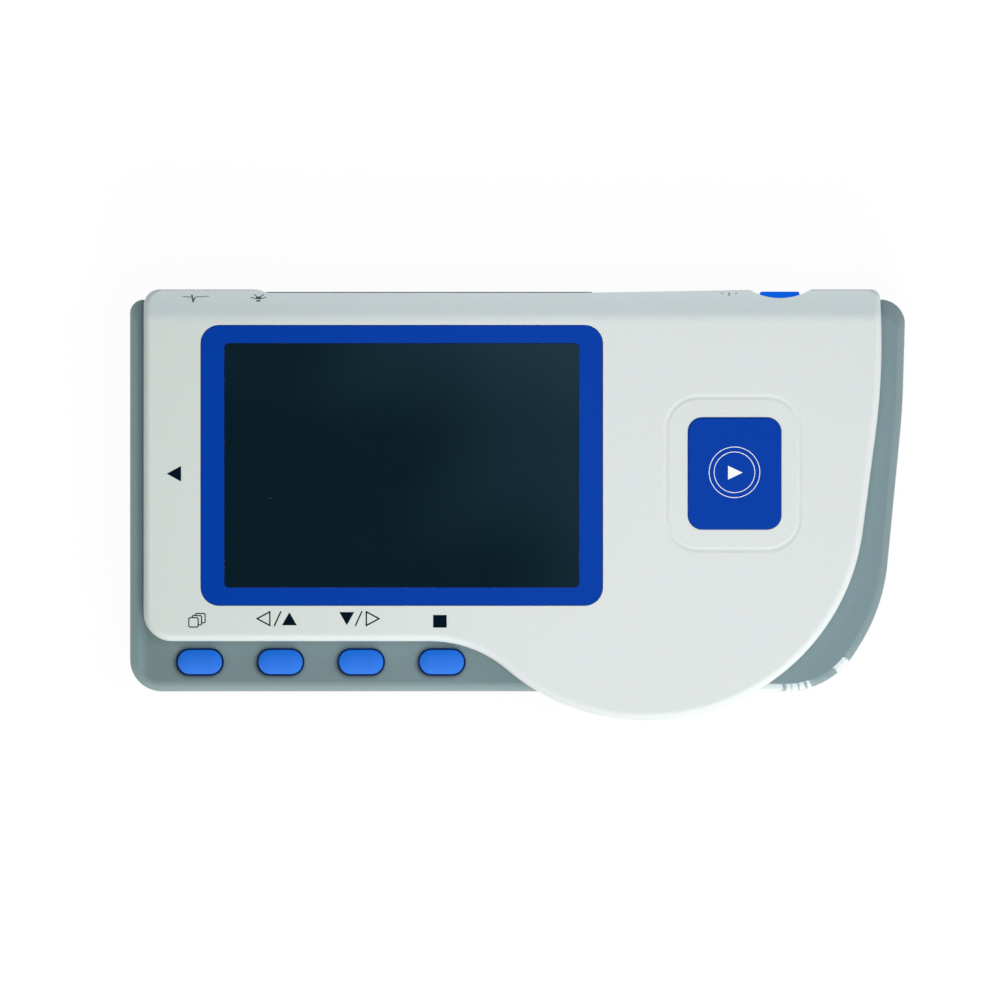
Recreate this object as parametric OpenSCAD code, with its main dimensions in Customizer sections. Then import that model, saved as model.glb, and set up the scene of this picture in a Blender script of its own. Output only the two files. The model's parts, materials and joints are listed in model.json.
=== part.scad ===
// Handheld home heart-rhythm monitor: a grey two-part body with a white wave-shaped front
// cover, a framed display, four oval keys, a large start key, a power key in the top edge,
// three bare electrodes and two round cells behind a sliding door.
//
// It lies on its back. X runs along the length, Y towards the top edge and Z out of the
// display. The origin is in the middle of the back face. All sizes are in millimetres.

/* [Body] */
// Length of the grey body
body_length = 125; // [122:0.5:130]
// Overall height across the white cover
body_height = 69.5; // [68:0.5:73]
// Thickness of the housing walls
wall = 1.6; // [1.3:0.1:1.8]
// Radius of the edge round the back face
back_edge = 3; // [2.4:0.1:3.2]

/* [Levels] */
// Level where the rear case meets the front frame
parting_level = 7.4; // [7.2:0.1:7.6]
// Level of the grey deck that carries the oval keys
deck_level = 16.2; // [16:0.1:16.5]
// Level of the white cover's flat face
face_level = 19.4; // [19.2:0.1:20]
// Thickness of the deck plate
deck_thickness = 1.5; // [1.2:0.1:1.5]
// Thickness of the white cover's roof
roof_thickness = 1.8; // [1.6:0.1:2]

/* [Display] */
// Length of the blue display frame
frame_length = 64.8; // [62:0.2:66]
// Height of the blue display frame
frame_height = 45.2; // [43:0.2:46]
// Length of the dark window in the frame
window_length = 57.2; // [54:0.2:58]
// Height of the dark window in the frame
window_height = 39.4; // [37:0.2:40]
// Thickness of the frame and the window
lens_thickness = 1.15; // [0.9:0.05:1.2]

/* [Oval keys] */
// Length of an oval key
oval_length = 7.1; // [6.4:0.1:7.6]
// Height of an oval key
oval_height = 3.9; // [3.4:0.1:4.3]
// Distance from one oval key to the next
oval_pitch = 13; // [11:0.1:13.4]
// How far the oval keys stand above the deck
oval_rise = 1.2; // [0.8:0.1:1.6]

/* [Start key] */
// Length of the start key
start_length = 15; // [13:0.2:16]
// Height of the start key
start_height = 18; // [16:0.2:19]
// How far the start key stands above the white face
start_rise = 0.6; // [0.5:0.1:0.9]

/* [Power key] */
// Length of the power key
power_length = 6.4; // [5.4:0.1:7]
// Height of the power key
power_height = 4; // [3.2:0.1:4.4]
// Depth of the finger scoop that the power key stands in
scoop_depth = 1.35; // [1:0.05:1.5]
// Width of the finger scoop
scoop_width = 10.8; // [9.6:0.1:12]

/* [Power supply] */
// Diameter of a cell
cell_diameter = 10.5; // [10.1:0.1:10.5]
// Length of a cell with its nub
cell_length = 44.5; // [43.5:0.1:44.6]
// Thickness of the sliding door
door_thickness = 1.5; // [1.3:0.05:1.5]

/* [Electrodes] */
// Thickness of the electrode plates
electrode_thickness = 0.8; // [0.6:0.1:0.9]
// Length of the electrode on the left end
left_electrode_length = 26; // [20:0.5:30]
// Length of the electrode on the top edge
top_electrode_length = 46; // [38:0.5:48]
// Length of the electrode on the back
back_electrode_length = 36; // [30:0.5:38]

/* [Sockets] */
// Bore of the lead socket
lead_bore = 3.6; // [3:0.1:3.8]
// Depth of the lead socket's bore
lead_depth = 11; // [9:0.1:11.2]

/* [Hidden] */

// ---- clearances and small common sizes
bite = 0.3;                 // how far joined shapes reach into each other
slip = 0.1;                 // gap between fitted parts that do not move
trim = 1;                   // how far a lofted shape is drawn past the flat end that it is trimmed to
key_gap = 0.2;              // gap round a key
round_fn = 48;

// ---- outlines: each corner is [x, y, radius], clockwise from the top left
half_length = body_length / 2;
half_height = body_height / 2;
body_top = half_height - 1.65;
body_bottom = half_height - 4.65;
body_corners = [
    [-half_length, body_top, 2.3],
    [half_length + 0.12, body_top, 4],
    [half_length - 0.4, half_height - 19.45, 120],
    [half_length - 3.5, 18.05 - half_height, 30],
    [half_length - 12, -body_bottom, 13],
    [-half_length, -body_bottom, 5.2]
];
cover_left = 2.25;          // grey strip left of the white cover
cover_right = 4.1;          // the same at the top right
cover_foot = -half_height + 12.75;
cover_corners = [
    [-half_length + cover_left, half_height, 3],
    [half_length - cover_right, half_height, 1.9],
    [half_length - 3.45, half_height - 13.15, 112],
    [half_length - 10.85, -half_height, 35],
    [half_length - 54.3, -half_height, 34.6],
    [half_length - 69.75, cover_foot, 19],
    [-half_length + cover_left, cover_foot, 4.6]
];
// the rear case follows the body and bulges out under the white lobe
lobe_foot = -half_height + 0.4;
rear_corners = [
    [-half_length, body_top, 2.3],
    [half_length + 0.12, body_top, 4],
    [half_length - 0.4, half_height - 19.45, 120],
    [half_length - 3.5, 18.05 - half_height, 30],
    [half_length - 12, -body_bottom, 13],
    [half_length - 24.9, -body_bottom, 4],
    [half_length - 34.5, lobe_foot, 30],
    [half_length - 47.9, lobe_foot, 30],
    [half_length - 57.7, -body_bottom, 4],
    [-half_length, -body_bottom, 5.2]
];

// ---- the white cover's top edge, seen from the left end
band_angle = 22;            // slope of the band along the top edge
band_start = half_height - 5.4;  // where the flat face starts to bend down
band_bend = 4.4;            // radius of that bend
band_edge = 2.2;            // radius of the outer edge
roof_underside = face_level - roof_thickness;
deck_underside = deck_level - deck_thickness;
skirt_wall = 2.25;          // thickness of the white wall along the top edge
skirt_inner = half_height - skirt_wall;
cover_wall = 1.8;

// ---- shallow recess in the top edge and the rail behind it
recess_left = -half_length + 22;
recess_right = half_length - 50.5;
recess_depth = 0.55;
recess_run = 3.5;           // length over which each end of the recess runs out
rail_top = 12.4;
rail_face = half_height - 0.4;
top_middle = (recess_left + recess_right) / 2;

// ---- display
display_x = -half_length + 43.85;
display_y = half_height - 28.4;
window_overlap = 1;         // how far the roof reaches under the window's edge
frame_radius = 3;
window_radius = 0.75;
lens_level = face_level - 0.05;
pocket_level = lens_level - lens_thickness;
gasket_thickness = 0.5;
lcd_top = roof_underside - gasket_thickness;
lcd_margin = 2.1;           // how far the panel reaches past the frame at each end
lcd_length = frame_length + 2 * lcd_margin;
lcd_height = frame_height - 2 * slip;
gasket_lip = 0.3;           // from the panel's upper and lower edges to the gasket's
bracket_thickness = 0.8;
bracket_level = deck_underside - bracket_thickness;
bracket_margin = 1;
bracket_rim = 10;           // width of the bracket's rim at each end
bracket_bar = 7;            // the same above and below
bracket_shank = 1.5;
ear_diameter = 3.6;
ear_reach = lcd_length / 2 + 1.6;
bracket_screw_places = [
    [display_x - ear_reach, display_y + 8], [display_x - ear_reach, display_y - 14],
    [display_x + ear_reach, display_y + 18.5], [display_x + ear_reach, display_y - 14]
];
ribbon_width = 18;
ribbon_out = display_x + lcd_length / 2 + 1.4;  // where the ribbon turns down to the board

// ---- circuit board
board_level = parting_level + 0.3;
board_top = board_level + 1;
board_inset = 3;            // from the body's outline to the board's edge
switch_size = 6;
switch_height = 3;
plunger_diameter = 3.4;
plunger_top = board_top + switch_height + 0.9;

// ---- oval keys
oval_y = -body_bottom + 4.75;
oval_first_x = -half_length + 11.3;
flange_margin = 0.8;
oval_flange_top = deck_underside - 0.1;
oval_flange_low = oval_flange_top - 1;

// ---- start key
start_x = half_length - 27.54;
start_y = half_height - 29.7;
start_radius = 2.3;
start_flange_top = roof_underside - 0.1;
start_flange_low = start_flange_top - 1.1;
groove_y = half_height - 29.51;
groove_margin = 3.5;        // from the start key to the groove round it
groove_radius = 5.5;
groove_width = 0.55;
groove_depth = 0.35;

// ---- power key
power_x = half_length - 20.2;
power_z = 11.6;
power_face = half_height - 0.35;
power_flange_face = skirt_inner - 0.1;
power_flange_back = power_flange_face - 1;
switch_front = half_height - 6.2;  // front of the power key's switch body
scoop_radius = (scoop_width * scoop_width / 4 + scoop_depth * scoop_depth) / (2 * scoop_depth);

// ---- cells and their bay
cell_radius = cell_diameter / 2;
cell_spread = cell_radius + 0.35;  // half the distance between the cells' axes
bay_y = half_height - 30.55;
cell_z = 0.4 + door_thickness + cell_radius;
contact_thickness = 0.5;
spring_room = 5;
bay_left = -half_length + 9;
bay_right = bay_left + 2 * contact_thickness + cell_length + spring_room;
bay_half = cell_spread + cell_radius + 0.35;
bay_wall = 1.2;
bay_ceiling = cell_z + cell_radius + 0.2;
bay_roof = 0.7;
upper_y = bay_y + cell_spread;
lower_y = bay_y - cell_spread;
plate_left = bay_left + contact_thickness;
plate_right = bay_right - contact_thickness;
nub_length = 1;
nub_diameter = 3.8;
spring_wire = 0.7;
spring_turns = 5;
spring_gap = 0.05;

// ---- sliding door
door_right = bay_right + 2;
door_half = bay_half + 0.4;
tongue_reach = 0.9;         // how far the door's side tongues reach into the case
tongue_level = 0.75;
door_gap = 0.12;
guide_height = 3;           // height of the thick floor that guides the door
guide_half = door_half + tongue_reach + 1.5;
latch_length = 1.6;
latch_width = 6;
grip_lines = 6;
grip_pitch = 1.5;

// ---- screws: the case screws, the board screws and the cover's pegs
case_screw_places = [
    [-half_length + 4.9, body_top - 12.7], [half_length - 39.9, body_top - 4.5], [half_length - 8, body_top - 6.6],
    [half_length - 8.9, -body_bottom + 17.6], [half_length - 40.5, -body_bottom + 5.1],
    [-half_length + 5.7, -body_bottom + 14.6]
];
board_screw_places = [
    [half_length - 54.5, body_top - 7.1], [half_length - 12.5, body_top - 16.1],
    [half_length - 50.5, body_top - 47.1], [half_length - 16.5, body_top - 36.1]
];
cover_peg_places = [
    [half_length - 42, half_height - 13.75], [half_length - 10, half_height - 24.75],
    [half_length - 22.5, -half_height + 14.75], [half_length - 52.5, -half_height + 10.75],
    [half_length - 64.5, cover_foot + 1.8]
];
boss_diameter = 4.6;        // screw towers of the front frame
foot_diameter = 5.6;        // screw towers of the rear case
case_shank = 2;
case_head = 3.4;
case_head_height = 1.5;
head_depth = 1.2;           // depth of the screw heads below the back face
under_head = head_depth + case_head_height;
peg_diameter = 2;

// ---- electrodes
left_electrode_y = 0;
left_electrode_low = 3.4;
left_electrode_high = 13.2;
top_electrode_low = 2.8;
top_electrode_high = 11.2;
back_electrode_x = half_length - 28.5;
back_electrode_y = half_height - 31.75;
back_electrode_height = 19;
tab_low = 5.2;              // tabs that lead from the electrodes into the case
tab_high = 6.6;
tab_y = -11;

// ---- sockets in the top edge
lead_x = -half_length + 9.3;
lead_body_width = 5.8;
lead_body_height = 5;
lead_nose = 5.4;
lead_z = board_top + lead_body_height / 2;
lead_back = skirt_inner - 10.1;
socket_face = half_height - 0.35;
usb_x = -half_length + 17.9;
usb_width = 7.5;
usb_height = 3.9;
usb_sheet = 0.35;
usb_length = 9.2;

// ---- buzzer
buzzer_x = half_length - 17.5;
buzzer_y = -body_bottom + 12.1;
buzzer_diameter = 9;
buzzer_height = 3;

// ---- bare seat for a label on the back
label_x = -half_length + 39;
label_y = -body_bottom + 11.1;
label_length = 48;
label_height = 11;
label_depth = 0.3;

// =====================================================================================
// Outline and loft functions
// =====================================================================================

function unit(v) = v / norm(v);
function right_of(v) = [v[1], -v[0]];
function cross2(a, b) = a[0] * b[1] - a[1] * b[0];
function turned(v, a) = [v[0] * cos(a) - v[1] * sin(a), v[0] * sin(a) + v[1] * cos(a)];
function place(corner) = [corner[0], corner[1]];

// direction of the side that leaves corner i
function side_of(corners, i) =
    let (n = len(corners))
    unit(place(corners[(i + 1) % n]) - place(corners[i]));

// corner i after each side has moved inwards by its own inset
function moved_corner(corners, insets, i) =
    let (
        n = len(corners),
        before = (i + n - 1) % n,
        na = right_of(side_of(corners, before)),
        nb = right_of(side_of(corners, i)),
        ia = insets[before],
        ib = insets[i]
    )
    place(corners[i]) + [ia * nb[1] - ib * na[1], ib * na[0] - ia * nb[0]] / cross2(na, nb);

// points along the arc at corner i
function corner_arc(corners, insets, i) =
    let (
        n = len(corners),
        before = (i + n - 1) % n,
        da = side_of(corners, before),
        db = side_of(corners, i),
        turn = atan2(cross2(da, db), da * db),
        convex = turn < 0,
        least = min(insets[before], insets[i]),
        radius = convex ? max(corners[i][2] - least, 0.05) : corners[i][2] + least,
        start = moved_corner(corners, insets, i) - da * radius * tan(abs(turn) / 2),
        spoke = right_of(da) * radius * (convex ? -1 : 1),
        steps = max(3, ceil(abs(turn) / 15), ceil(abs(turn) * PI / 180 * corners[i][2] / 2.6))
    )
    [for (k = [0:steps]) start - spoke + turned(spoke, turn * k / steps)];

function outline(corners, insets) = [for (i = [0:len(corners) - 1]) each corner_arc(corners, insets, i)];
function plain_outline(corners, inset) = outline(corners, [for (c = corners) inset]);

// corners of a rounded rectangle about a centre
function box_corners(x, y, length, height, radius) = [
    [x - length / 2, y + height / 2, radius],
    [x + length / 2, y + height / 2, radius],
    [x + length / 2, y - height / 2, radius],
    [x - length / 2, y - height / 2, radius]
];

// solid through rings of equal count, each with its own level, from the lowest up
module loft(rings, levels) {
    n = len(rings[0]);
    last = len(rings) - 1;
    points = [for (k = [0:last]) for (p = rings[k]) [p[0], p[1], levels[k]]];
    sides = [
        for (k = [0:last - 1]) for (i = [0:n - 1])
        let (j = (i + 1) % n, a = k * n, b = (k + 1) * n)
        each [[a + i, a + j, b + j], [a + i, b + j, b + i]]
    ];
    polyhedron(points, concat([[for (i = [n - 1:-1:0]) i]], sides, [[for (i = [0:n - 1]) last * n + i]]), 10);
}

// takes off what its children have below a level, which leaves one flat face there
module trimmed_below(level) {
    difference() {
        children();
        block([-half_length - 1, -half_height - 1, level - 2 * trim], [half_length + 1, half_height + 1, level]);
    }
}

// upright solid whose upper edge is rounded: insets[i] across and drop down on each side
module rounded_top(corners, low, high, insets, drop, steps = 5) {
    angles = [for (k = [0:steps]) 90 * k / steps];
    rings = concat(
        [plain_outline(corners, 0)],
        [for (a = angles) outline(corners, insets * (1 - cos(a)))]
    );
    trimmed_below(low) loft(rings, concat([low - trim], [for (a = angles) high - drop * (1 - sin(a))]));
}

// the same with the lower edge rounded
module rounded_bottom(corners, low, high, insets, rise, steps = 5) {
    angles = [for (k = [steps:-1:0]) 90 * k / steps];
    rings = concat(
        [outline(corners, insets)],
        [for (a = angles) outline(corners, insets * (1 - cos(a)))],
        [plain_outline(corners, 0)]
    );
    trimmed_below(low) loft(rings, concat([low - trim], [for (a = angles) low + rise * (1 - sin(a))], [high]));
}

// straight prism on an outline that is inset on every side alike
module prism(corners, inset, low, high) {
    translate([0, 0, low]) linear_extrude(high - low) polygon(plain_outline(corners, inset));
}

module slab(x, y, length, height, radius, low, high) {
    prism(box_corners(x, y, length, height, radius), 0, low, high);
}

module block(low, high) {
    translate(low) cube(high - low);
}

module pillar(x, y, diameter, low, high) {
    translate([x, y, low]) cylinder(h = high - low, d = diameter, $fn = round_fn);
}

// cylinder along Y, from y = near to y = far
module rod_y(x, z, diameter, near, far) {
    translate([x, near, z]) rotate([-90, 0, 0]) cylinder(h = far - near, d = diameter, $fn = round_fn);
}

// cylinder along X, from x = left to x = right
module rod_x(y, z, diameter, left, right) {
    translate([left, y, z]) rotate([0, 90, 0]) cylinder(h = right - left, d = diameter, $fn = round_fn);
}

// =====================================================================================
// White front cover
// =====================================================================================

// profile of the band along the top edge, in Y and Z, from the flat face outwards
band_steps = 4;
bend_end_y = band_start + band_bend * sin(band_angle);
bend_end_z = face_level - band_bend * (1 - cos(band_angle));
edge_start_y = half_height - band_edge * (1 - sin(band_angle));
edge_start_z = bend_end_z - (edge_start_y - bend_end_y) * tan(band_angle);
edge_centre_z = edge_start_z - band_edge * cos(band_angle);
band_profile = concat(
    [[-half_height - 1, 0], [-half_height - 1, face_level + 1], [band_start, face_level + 1]],
    [for (k = [0:band_steps]) let (a = band_angle * k / band_steps)
        [band_start + band_bend * sin(a), face_level - band_bend * (1 - cos(a))]],
    [for (k = [0:band_steps + 2]) let (a = (90 - band_angle) * (1 - k / (band_steps + 2)))
        [half_height - band_edge + band_edge * cos(a), edge_centre_z + band_edge * sin(a)]],
    [[half_height + 1, edge_centre_z], [half_height + 1, 0]]
);

module band_limit() {
    translate([-half_length, 0, 0]) rotate([90, 0, 90]) linear_extrude(body_length) polygon(band_profile);
}

cover_rim = [1, 1.2, 1.2, 1.2, 1.2, 1.2, 1];  // width of the rounded edge on each side

module cover_shell() {
    difference() {
        intersection() {
            rounded_top(cover_corners, parting_level, face_level, cover_rim, 1.2);
            band_limit();
        }
        // hollow underside, lower under the band
        intersection() {
            prism(cover_corners, cover_wall, parting_level - 1, roof_underside);
            block([-half_length, -half_height, 0], [half_length, band_start, face_level]);
        }
        intersection() {
            prism(cover_corners, cover_wall, parting_level - 1, roof_underside - 0.9);
            block([-half_length, -half_height, 0], [half_length, skirt_inner, face_level]);
        }
        // room for the grey body below the deck
        block([-half_length, -body_bottom - slip, 0], [half_length, skirt_inner, deck_level]);
    }
}

module recess() {
    arc = (recess_run * recess_run + recess_depth * recess_depth) / (2 * recess_depth);
    block([recess_left + recess_run, half_height - recess_depth, 0],
        [recess_right - recess_run, half_height + 1, face_level]);
    for (x = [recess_left + recess_run, recess_right - recess_run])
        pillar(x, half_height - recess_depth + arc, 2 * arc, 0, face_level);
}

module usb_gap() {
    block([usb_x - usb_width / 2 - slip, skirt_inner - 2, board_top - slip],
        [usb_x + usb_width / 2 + slip, half_height + 1, board_top + usb_height + slip]);
}

module front_cover() {
    color([0.87, 0.89, 0.88]) difference() {
        union() {
            cover_shell();
            for (p = cover_peg_places) {
                pillar(p[0], p[1], peg_diameter + 1.4, deck_level, roof_underside + bite);
                pillar(p[0], p[1], peg_diameter, deck_underside - 0.4, deck_level + bite);
            }
        }
        // pocket and opening for the display
        slab(display_x, display_y, frame_length + 2 * slip, frame_height + 2 * slip, frame_radius + slip,
            pocket_level, face_level + 1);
        slab(display_x, display_y, window_length - 2 * window_overlap, window_height - 2 * window_overlap,
            window_radius, roof_underside - 1, face_level);
        // start key and the groove round it
        slab(start_x, start_y, start_length + 2 * key_gap, start_height + 2 * key_gap,
            start_radius + key_gap, roof_underside - 1, face_level + 1);
        difference() {
            slab(start_x, groove_y, start_length + 2 * groove_margin, start_height + 2 * groove_margin,
                groove_radius, face_level - groove_depth, face_level + 1);
            slab(start_x, groove_y, start_length + 2 * (groove_margin - groove_width),
                start_height + 2 * (groove_margin - groove_width), groove_radius - groove_width,
                face_level - groove_depth - 1, face_level + 2);
        }
        // recess in the top edge, and the notch that the rail stands in
        recess();
        block([recess_left - slip, skirt_inner - 1, 0], [recess_right + slip, half_height + 1, rail_top + slip]);
        // finger scoop and hole for the power key
        pillar(power_x, half_height - scoop_depth + scoop_radius, 2 * scoop_radius, 0, face_level + 1);
        block(
            [power_x - power_length / 2 - key_gap, skirt_inner - 1, power_z - power_height / 2 - key_gap],
            [power_x + power_length / 2 + key_gap, half_height + 1, power_z + power_height / 2 + key_gap]
        );
        // sockets
        rod_y(lead_x, lead_z, lead_nose + 2 * slip, skirt_inner - 1, half_height + 1);
        usb_gap();
    }
}

// =====================================================================================
// Grey front frame
// =====================================================================================

frame_rim = [1.5, 1.4, 1.4, 1.4, 2.3, 2.1];  // width of the rounded edge on each side

module left_electrode_gap() {
    block([-half_length - 1, left_electrode_y - left_electrode_length / 2 - slip, left_electrode_low - slip],
        [-half_length + electrode_thickness, left_electrode_y + left_electrode_length / 2 + slip,
            left_electrode_high + slip]);
}

module front_frame() {
    color([0.50, 0.56, 0.58]) difference() {
        union() {
            difference() {
                rounded_top(body_corners, parting_level, deck_level, frame_rim, 1.6);
                prism(body_corners, wall, parting_level - 1, deck_underside);
            }
            for (p = case_screw_places)
                pillar(p[0], p[1], boss_diameter, parting_level, deck_underside + bite);
        }
        // the white cover's wall takes this strip
        block([-half_length + cover_left - slip, skirt_inner, parting_level - 1],
            [half_length - cover_right + slip, half_height, deck_level + 1]);
        for (p = case_screw_places) pillar(p[0], p[1], case_shank, parting_level - 1, deck_underside - 0.5);
        for (p = cover_peg_places) pillar(p[0], p[1], peg_diameter + 2 * slip, deck_underside - 1, deck_level + 1);
        for (p = bracket_screw_places) pillar(p[0], p[1], bracket_shank, deck_underside - 1, deck_level - 0.2);
        slab(display_x, display_y, lcd_length + 0.6, lcd_height + 0.6, 0.8, deck_underside - 1, deck_level + 1);
        slab(start_x, start_y, start_length + 4, start_height + 4, 2, deck_underside - 1, deck_level + 1);
        for (k = [0:3]) prism(oval_corners(k), -key_gap, deck_underside - 1, deck_level + 1);
        left_electrode_gap();
        // openings in the top wall behind the white one
        rod_y(lead_x, lead_z, lead_nose + 4 * slip, skirt_inner - 2, half_height);
        block([lead_x - lead_body_width / 2 - slip, skirt_inner - 2, parting_level - 1],
            [lead_x + lead_body_width / 2 + slip, half_height, board_top + lead_body_height + slip]);
        usb_gap();
        block([power_x - power_length / 2 - 1.1, skirt_inner - 2, power_z - power_height / 2 - 1.1],
            [power_x + power_length / 2 + 1.1, half_height, power_z + power_height / 2 + 1.1]);
    }
}

// =====================================================================================
// Grey rear case
// =====================================================================================

rear_edge = [2.2, 3, 3, 3, 2.7, 2.7, 2.7, 2.7, 2.7, 3];

module rear_outer() {
    rounded_bottom(rear_corners, 0, parting_level, rear_edge, back_edge, 5);
}

// the opening that the door slides in, with grooves for its tongues
module door_space() {
    block([-half_length - 1, bay_y - door_half - door_gap, -1],
        [door_right + door_gap, bay_y + door_half + door_gap, door_thickness + door_gap]);
    block([-half_length - 1, bay_y - door_half - tongue_reach - door_gap, tongue_level - door_gap],
        [door_right + door_gap, bay_y + door_half + tongue_reach + door_gap, door_thickness + door_gap]);
    block([door_right - 1, bay_y - latch_width / 2 - slip, tongue_level - slip],
        [door_right + latch_length + 2 * slip, bay_y + latch_width / 2 + slip, door_thickness + slip]);
}

module rear_solid() {
    difference() {
        rear_outer();
        // hollow, short of the thick floor that guides the door
        difference() {
            prism(rear_corners, wall, wall, parting_level + 1);
            block([-half_length, bay_y - guide_half, 0], [door_right + 3.5, bay_y + guide_half, guide_height]);
        }
    }
    // rail in the top edge that carries an electrode
    block([recess_left, body_top - 1, 1.8], [recess_right, rail_face, parting_level]);
    block([recess_left, skirt_inner + slip, 1.8], [recess_right, rail_face, rail_top]);
    // the cells' bay
    block([bay_left - bay_wall, bay_y - bay_half - bay_wall, guide_height - 1],
        [bay_right + bay_wall, bay_y + bay_half + bay_wall, bay_ceiling + bay_roof]);
    for (p = case_screw_places) pillar(p[0], p[1], foot_diameter, wall - bite, parting_level);
    for (p = board_screw_places) pillar(p[0], p[1], boss_diameter, wall - bite, board_level);
}

module rear_case() {
    color([0.48, 0.54, 0.56]) difference() {
        union() rear_solid();
        block([bay_left, bay_y - bay_half, -1], [bay_right, bay_y + bay_half, bay_ceiling]);
        door_space();
        for (p = case_screw_places) {
            pillar(p[0], p[1], case_shank + 0.3, -1, parting_level + 1);
            pillar(p[0], p[1], case_head + 0.4, -1, under_head);
        }
        for (p = board_screw_places) pillar(p[0], p[1], 1.6, 3, board_level + 1);
        left_electrode_gap();
        // seats of the electrodes and of their tabs
        block([top_middle - top_electrode_length / 2 - slip, rail_face - electrode_thickness, top_electrode_low - slip],
            [top_middle + top_electrode_length / 2 + slip, rail_face + 1, top_electrode_high + slip]);
        block([top_middle - 2 - slip, body_top - wall - 2, tab_low - slip],
            [top_middle + 2 + slip, rail_face, tab_high + slip]);
        block([-half_length - 1, tab_y - 1 - slip, tab_low - slip],
            [-half_length + wall + 1, tab_y + 1 + slip, tab_high + slip]);
        slab(back_electrode_x, back_electrode_y, back_electrode_length + 2 * slip,
            back_electrode_height + 2 * slip, 4 + slip, -1, electrode_thickness + 0.05);
        pillar(back_electrode_x, back_electrode_y, 2.4, -1, wall + 1);
        // sound holes of the buzzer
        pillar(buzzer_x, buzzer_y, 1, -1, wall + 1);
        for (k = [0:5]) pillar(buzzer_x + 2.4 * cos(60 * k), buzzer_y + 2.4 * sin(60 * k), 1, -1, wall + 1);
        // bare shallow seat for a label
        slab(label_x, label_y, label_length, label_height, 1.5, -1, label_depth);
    }
}

module battery_door() {
    color([0.48, 0.54, 0.56]) difference() {
        intersection() {
            rear_outer();
            union() {
                block([-half_length - 1, bay_y - door_half, -1], [door_right, bay_y + door_half, door_thickness]);
                block([-half_length - 1, bay_y - door_half - tongue_reach, tongue_level],
                    [door_right, bay_y + door_half + tongue_reach, door_thickness]);
                block([door_right - 1, bay_y - latch_width / 2, tongue_level],
                    [door_right + latch_length, bay_y + latch_width / 2, door_thickness - 0.1]);
            }
        }
        // finger grip
        for (k = [0:grip_lines - 1])
            block([door_right - 6 - grip_pitch * k, bay_y - 6, -1],
                [door_right - 6 - grip_pitch * k + 0.7, bay_y + 6, 0.45]);
    }
}

// =====================================================================================
// Display
// =====================================================================================

module display_frame() {
    color([0.02, 0.24, 0.66]) difference() {
        slab(display_x, display_y, frame_length, frame_height, frame_radius, pocket_level, lens_level);
        slab(display_x, display_y, window_length, window_height, window_radius, pocket_level - 1, lens_level + 1);
    }
}

module display_window() {
    color([0.06, 0.13, 0.17])
        slab(display_x, display_y, window_length - 0.1, window_height - 0.1, window_radius,
            pocket_level, lens_level - 0.05);
}

module display_gasket() {
    color([0.12, 0.12, 0.12]) difference() {
        slab(display_x, display_y, frame_length + 2 * slip, lcd_height - 2 * gasket_lip, 1, lcd_top, roof_underside);
        slab(display_x, display_y, window_length - window_overlap, window_height - window_overlap, 0.5,
            lcd_top - 1, roof_underside + 1);
    }
}

module lcd_panel() {
    color([0.70, 0.72, 0.74])
        slab(display_x, display_y, lcd_length, lcd_height, 0.6, deck_underside, lcd_top);
}

module lcd_bracket() {
    color([0.16, 0.17, 0.18]) difference() {
        union() {
            slab(display_x, display_y, lcd_length + 2 * bracket_margin, lcd_height + 2 * bracket_margin, 1,
                bracket_level, deck_underside);
            for (p = bracket_screw_places) pillar(p[0], p[1], ear_diameter, bracket_level, deck_underside);
        }
        slab(display_x, display_y, lcd_length - 2 * bracket_rim, lcd_height - 2 * bracket_bar, 3,
            bracket_level - 1, deck_underside + 1);
        block([display_x + lcd_length / 2 - 1, display_y - ribbon_width / 2 - 1, bracket_level - 1],
            [display_x + lcd_length, display_y + ribbon_width / 2 + 1, deck_underside + 1]);
        for (p = bracket_screw_places) pillar(p[0], p[1], bracket_shank + 0.2, bracket_level - 1, deck_underside + 1);
    }
}

module lcd_ribbon() {
    // from under the panel's right end down to its socket on the board
    start = display_x + lcd_length / 2;
    out = ribbon_out;
    high = deck_underside;
    low = board_top + 0.6;
    color([0.80, 0.55, 0.20]) translate([0, display_y + ribbon_width / 2, 0]) rotate([90, 0, 0])
        linear_extrude(ribbon_width)
            polygon([
                [start - 0.9, high], [out - 0.8, high], [out, high - 0.8], [out, low + 0.8], [out - 0.8, low],
                [start - 1.4, low], [start - 1.4, low + 0.2], [out - 0.9, low + 0.2], [out - 0.2, low + 0.9],
                [out - 0.2, high - 0.9], [out - 0.9, high - 0.2], [start - 0.9, high - 0.2]
            ]);
}

// a screw driven upwards: its head hangs below the given level
module screw_up(x, y, shank, length, head, head_height, level) {
    difference() {
        union() {
            pillar(x, y, shank, level - head_height / 2, level + length);
            pillar(x, y, head, level - head_height, level);
        }
        for (a = [0, 90]) translate([x, y, level - head_height]) rotate([0, 0, a])
            translate([-head * 0.3, -0.25, -1]) cube([head * 0.6, 0.5, 1 + head_height * 0.5]);
    }
}

module bracket_screws() {
    color([0.75, 0.76, 0.78]) for (p = bracket_screw_places)
        screw_up(p[0], p[1], bracket_shank - 0.06, 1.8, 2.6, 0.45, bracket_level);
}

// =====================================================================================
// Keys and their switches
// =====================================================================================

function oval_x(k) = oval_first_x + oval_pitch * k;
function oval_corners(k) = box_corners(oval_x(k), oval_y, oval_length, oval_height, oval_height / 2 - 0.05);

module oval_key(k) {
    color([0.20, 0.47, 0.87]) {
        rounded_top(oval_corners(k), oval_flange_top - bite, deck_level + oval_rise, [0.5, 0.5, 0.5, 0.5], 0.5, 3);
        slab(oval_x(k), oval_y, oval_length + 2 * flange_margin, oval_height + 2 * flange_margin, 1.5,
            oval_flange_low, oval_flange_top);
        pillar(oval_x(k), oval_y, 3, plunger_top, oval_flange_low + bite);
    }
}

module menu_key() { oval_key(0); }
module left_up_key() { oval_key(1); }
module right_down_key() { oval_key(2); }
module stop_key() { oval_key(3); }

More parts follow.
